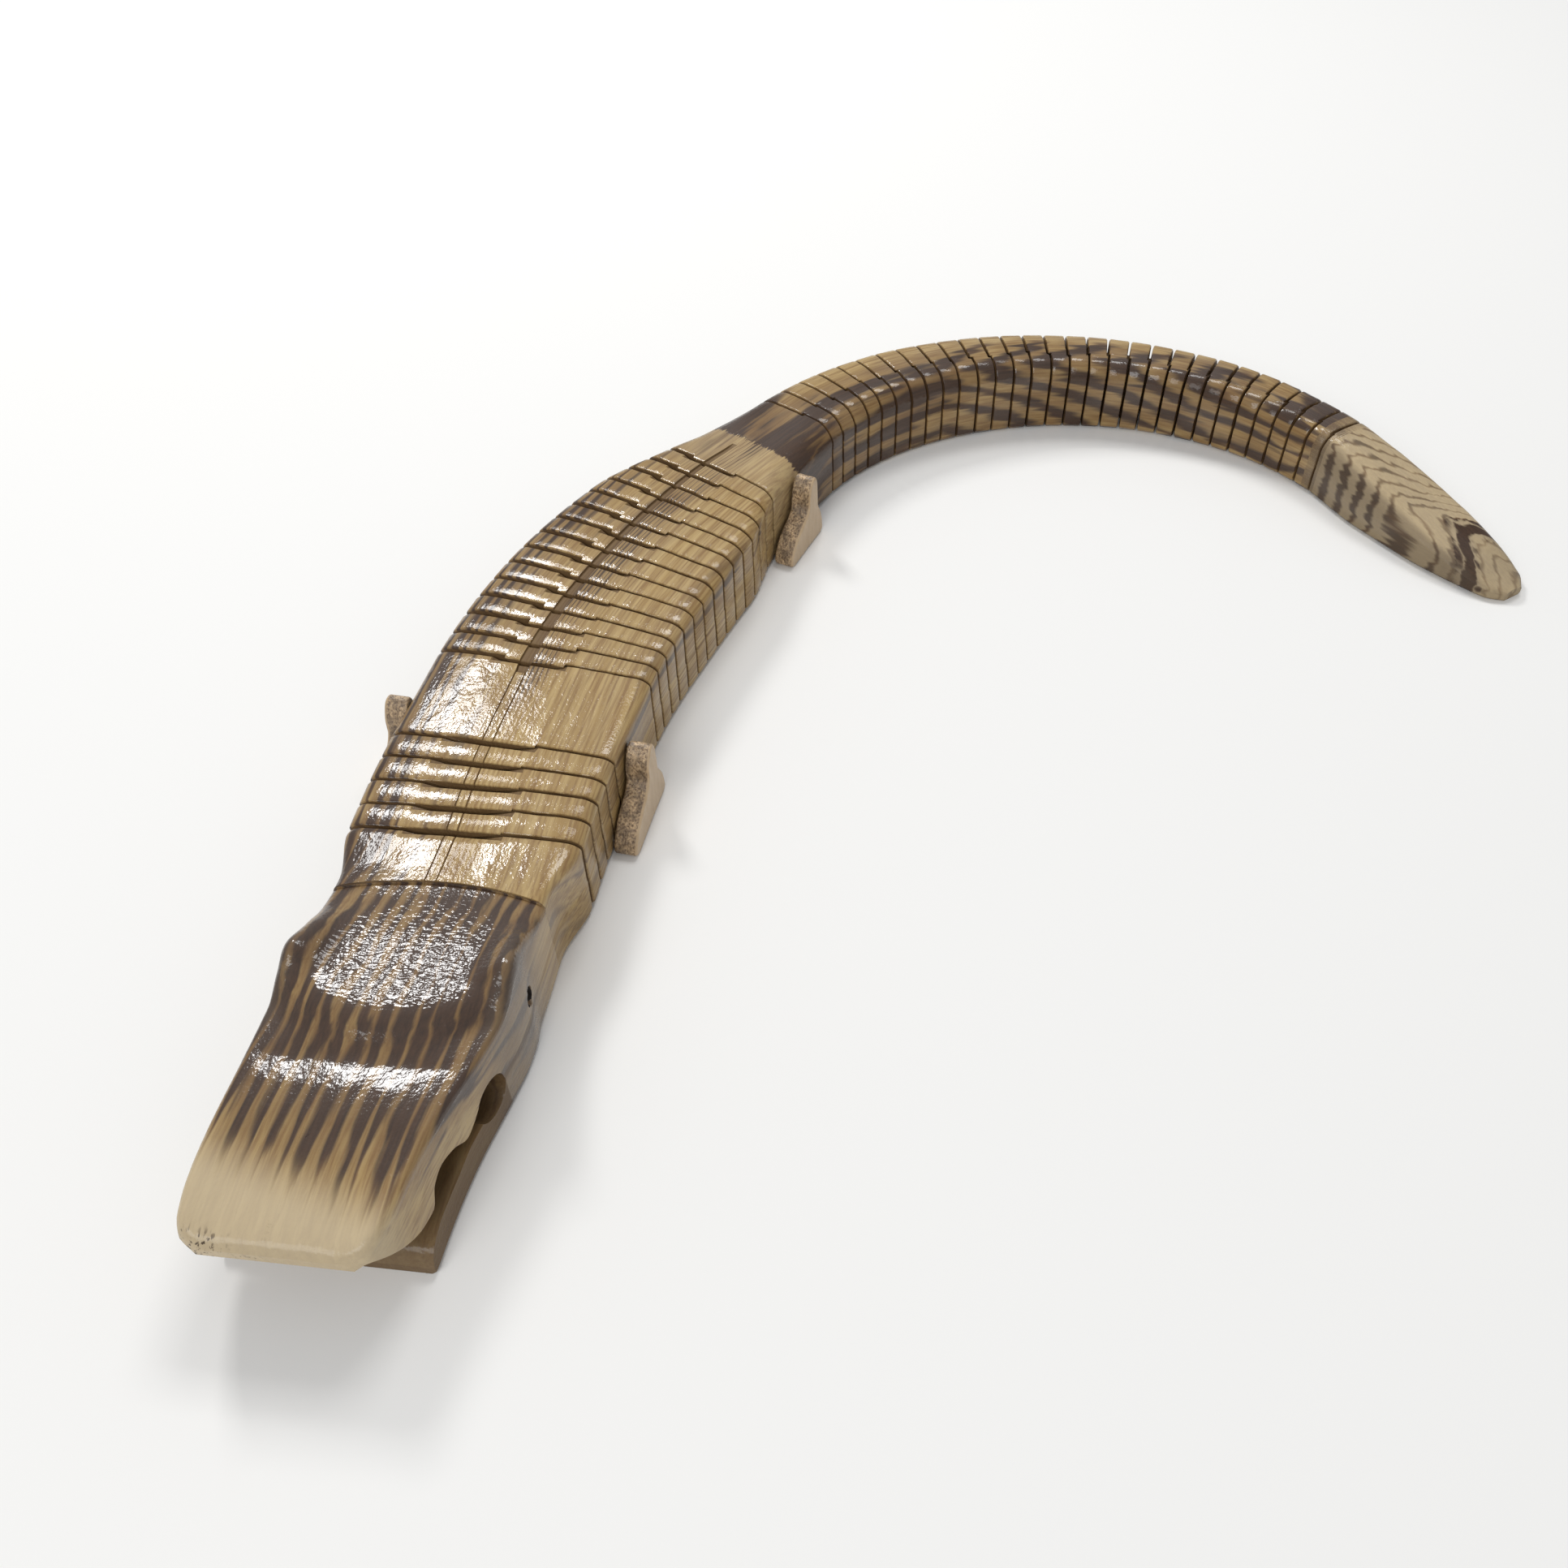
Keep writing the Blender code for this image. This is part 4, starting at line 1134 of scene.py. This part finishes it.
def at_angle(target, azimuth, elevation, distance):
    """Spot seen from the target at an azimuth from +Y towards +X and an elevation, in degrees."""
    turn, rise = math.radians(azimuth), math.radians(elevation)
    aim = Vector((math.sin(turn) * math.cos(rise), math.cos(turn) * math.cos(rise), math.sin(rise)))
    return Vector(target) + distance * aim


def photograph_camera():
    """Camera of the photograph: 0.31 m above the floor, 48 degrees down, slightly rolled."""
    data = bpy.data.cameras.new("camera")
    data.sensor_fit = "HORIZONTAL"
    data.sensor_width = 36.0
    data.lens = 32.44
    data.shift_x = 0.00737
    data.shift_y = 0.0050
    data.clip_start = 0.01
    data.clip_end = 50
    made = put_in_scene("camera", data)
    place = Matrix.Translation((-0.0615, -0.3108, 0.31098))
    tilt = Matrix.Rotation(math.radians(42.253), 4, "X")
    roll = Matrix.Rotation(-0.03089, 4, "Z")
    made.matrix_world = place @ tilt @ roll
    bpy.context.scene.camera = made


photograph_camera()
wood = scorched_pine()
board = leg_wood()
blank_piece, offset = dress_blank(wood)
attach(blank_piece, "root")
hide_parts("body")

# node, side, place of the heel, length of the foot and height of each leg
FRONT_END = NECK + 4 * GROUPS[0][0]
LEGS = (
    ("leg_front_left", 1, FRONT_END + 0.0175, 0.027, 0.025),
    ("leg_front_right", -1, FRONT_END + 0.0205, 0.027, 0.0265),
    ("leg_rear_left", 1, FLANK + 0.0170, 0.0235, 0.026),
    ("leg_rear_right", -1, FLANK + 0.0170, 0.0235, 0.017),
)
for node, side, heel, foot, height in LEGS:
    piece = build_leg(node + "_board", side, heel, foot, height, offset, board)
    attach(piece, "root")
    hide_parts(node)
plain_floor()

world = bpy.data.worlds.new("studio")
bpy.context.scene.world = world
world.use_nodes = True
world.node_tree.nodes["Background"].inputs[0].default_value = linear("#E8EAEE")
world.node_tree.nodes["Background"].inputs[1].default_value = 0.46
bpy.context.scene.view_settings.view_transform = "Standard"
NECK_TOP = (-0.15, -0.06, 0.03)
TAIL_TOP = (0.08, 0.14, 0.02)
# what each window shines on, its azimuth, elevation and distance, its size and its power
for name, target, angles, size, watts in (
    ("window_behind", NECK_TOP, (-21.5, 44, 1.6), (0.28, 0.36), 8.3),
    ("window_side", NECK_TOP, (-155, 42, 1.8), (1.1, 0.8), 13),
    ("window_right", TAIL_TOP, (15, 64, 1.6), (0.7, 0.45), 8),
):
    softbox(name, at_angle(target, *angles), target, size, watts)
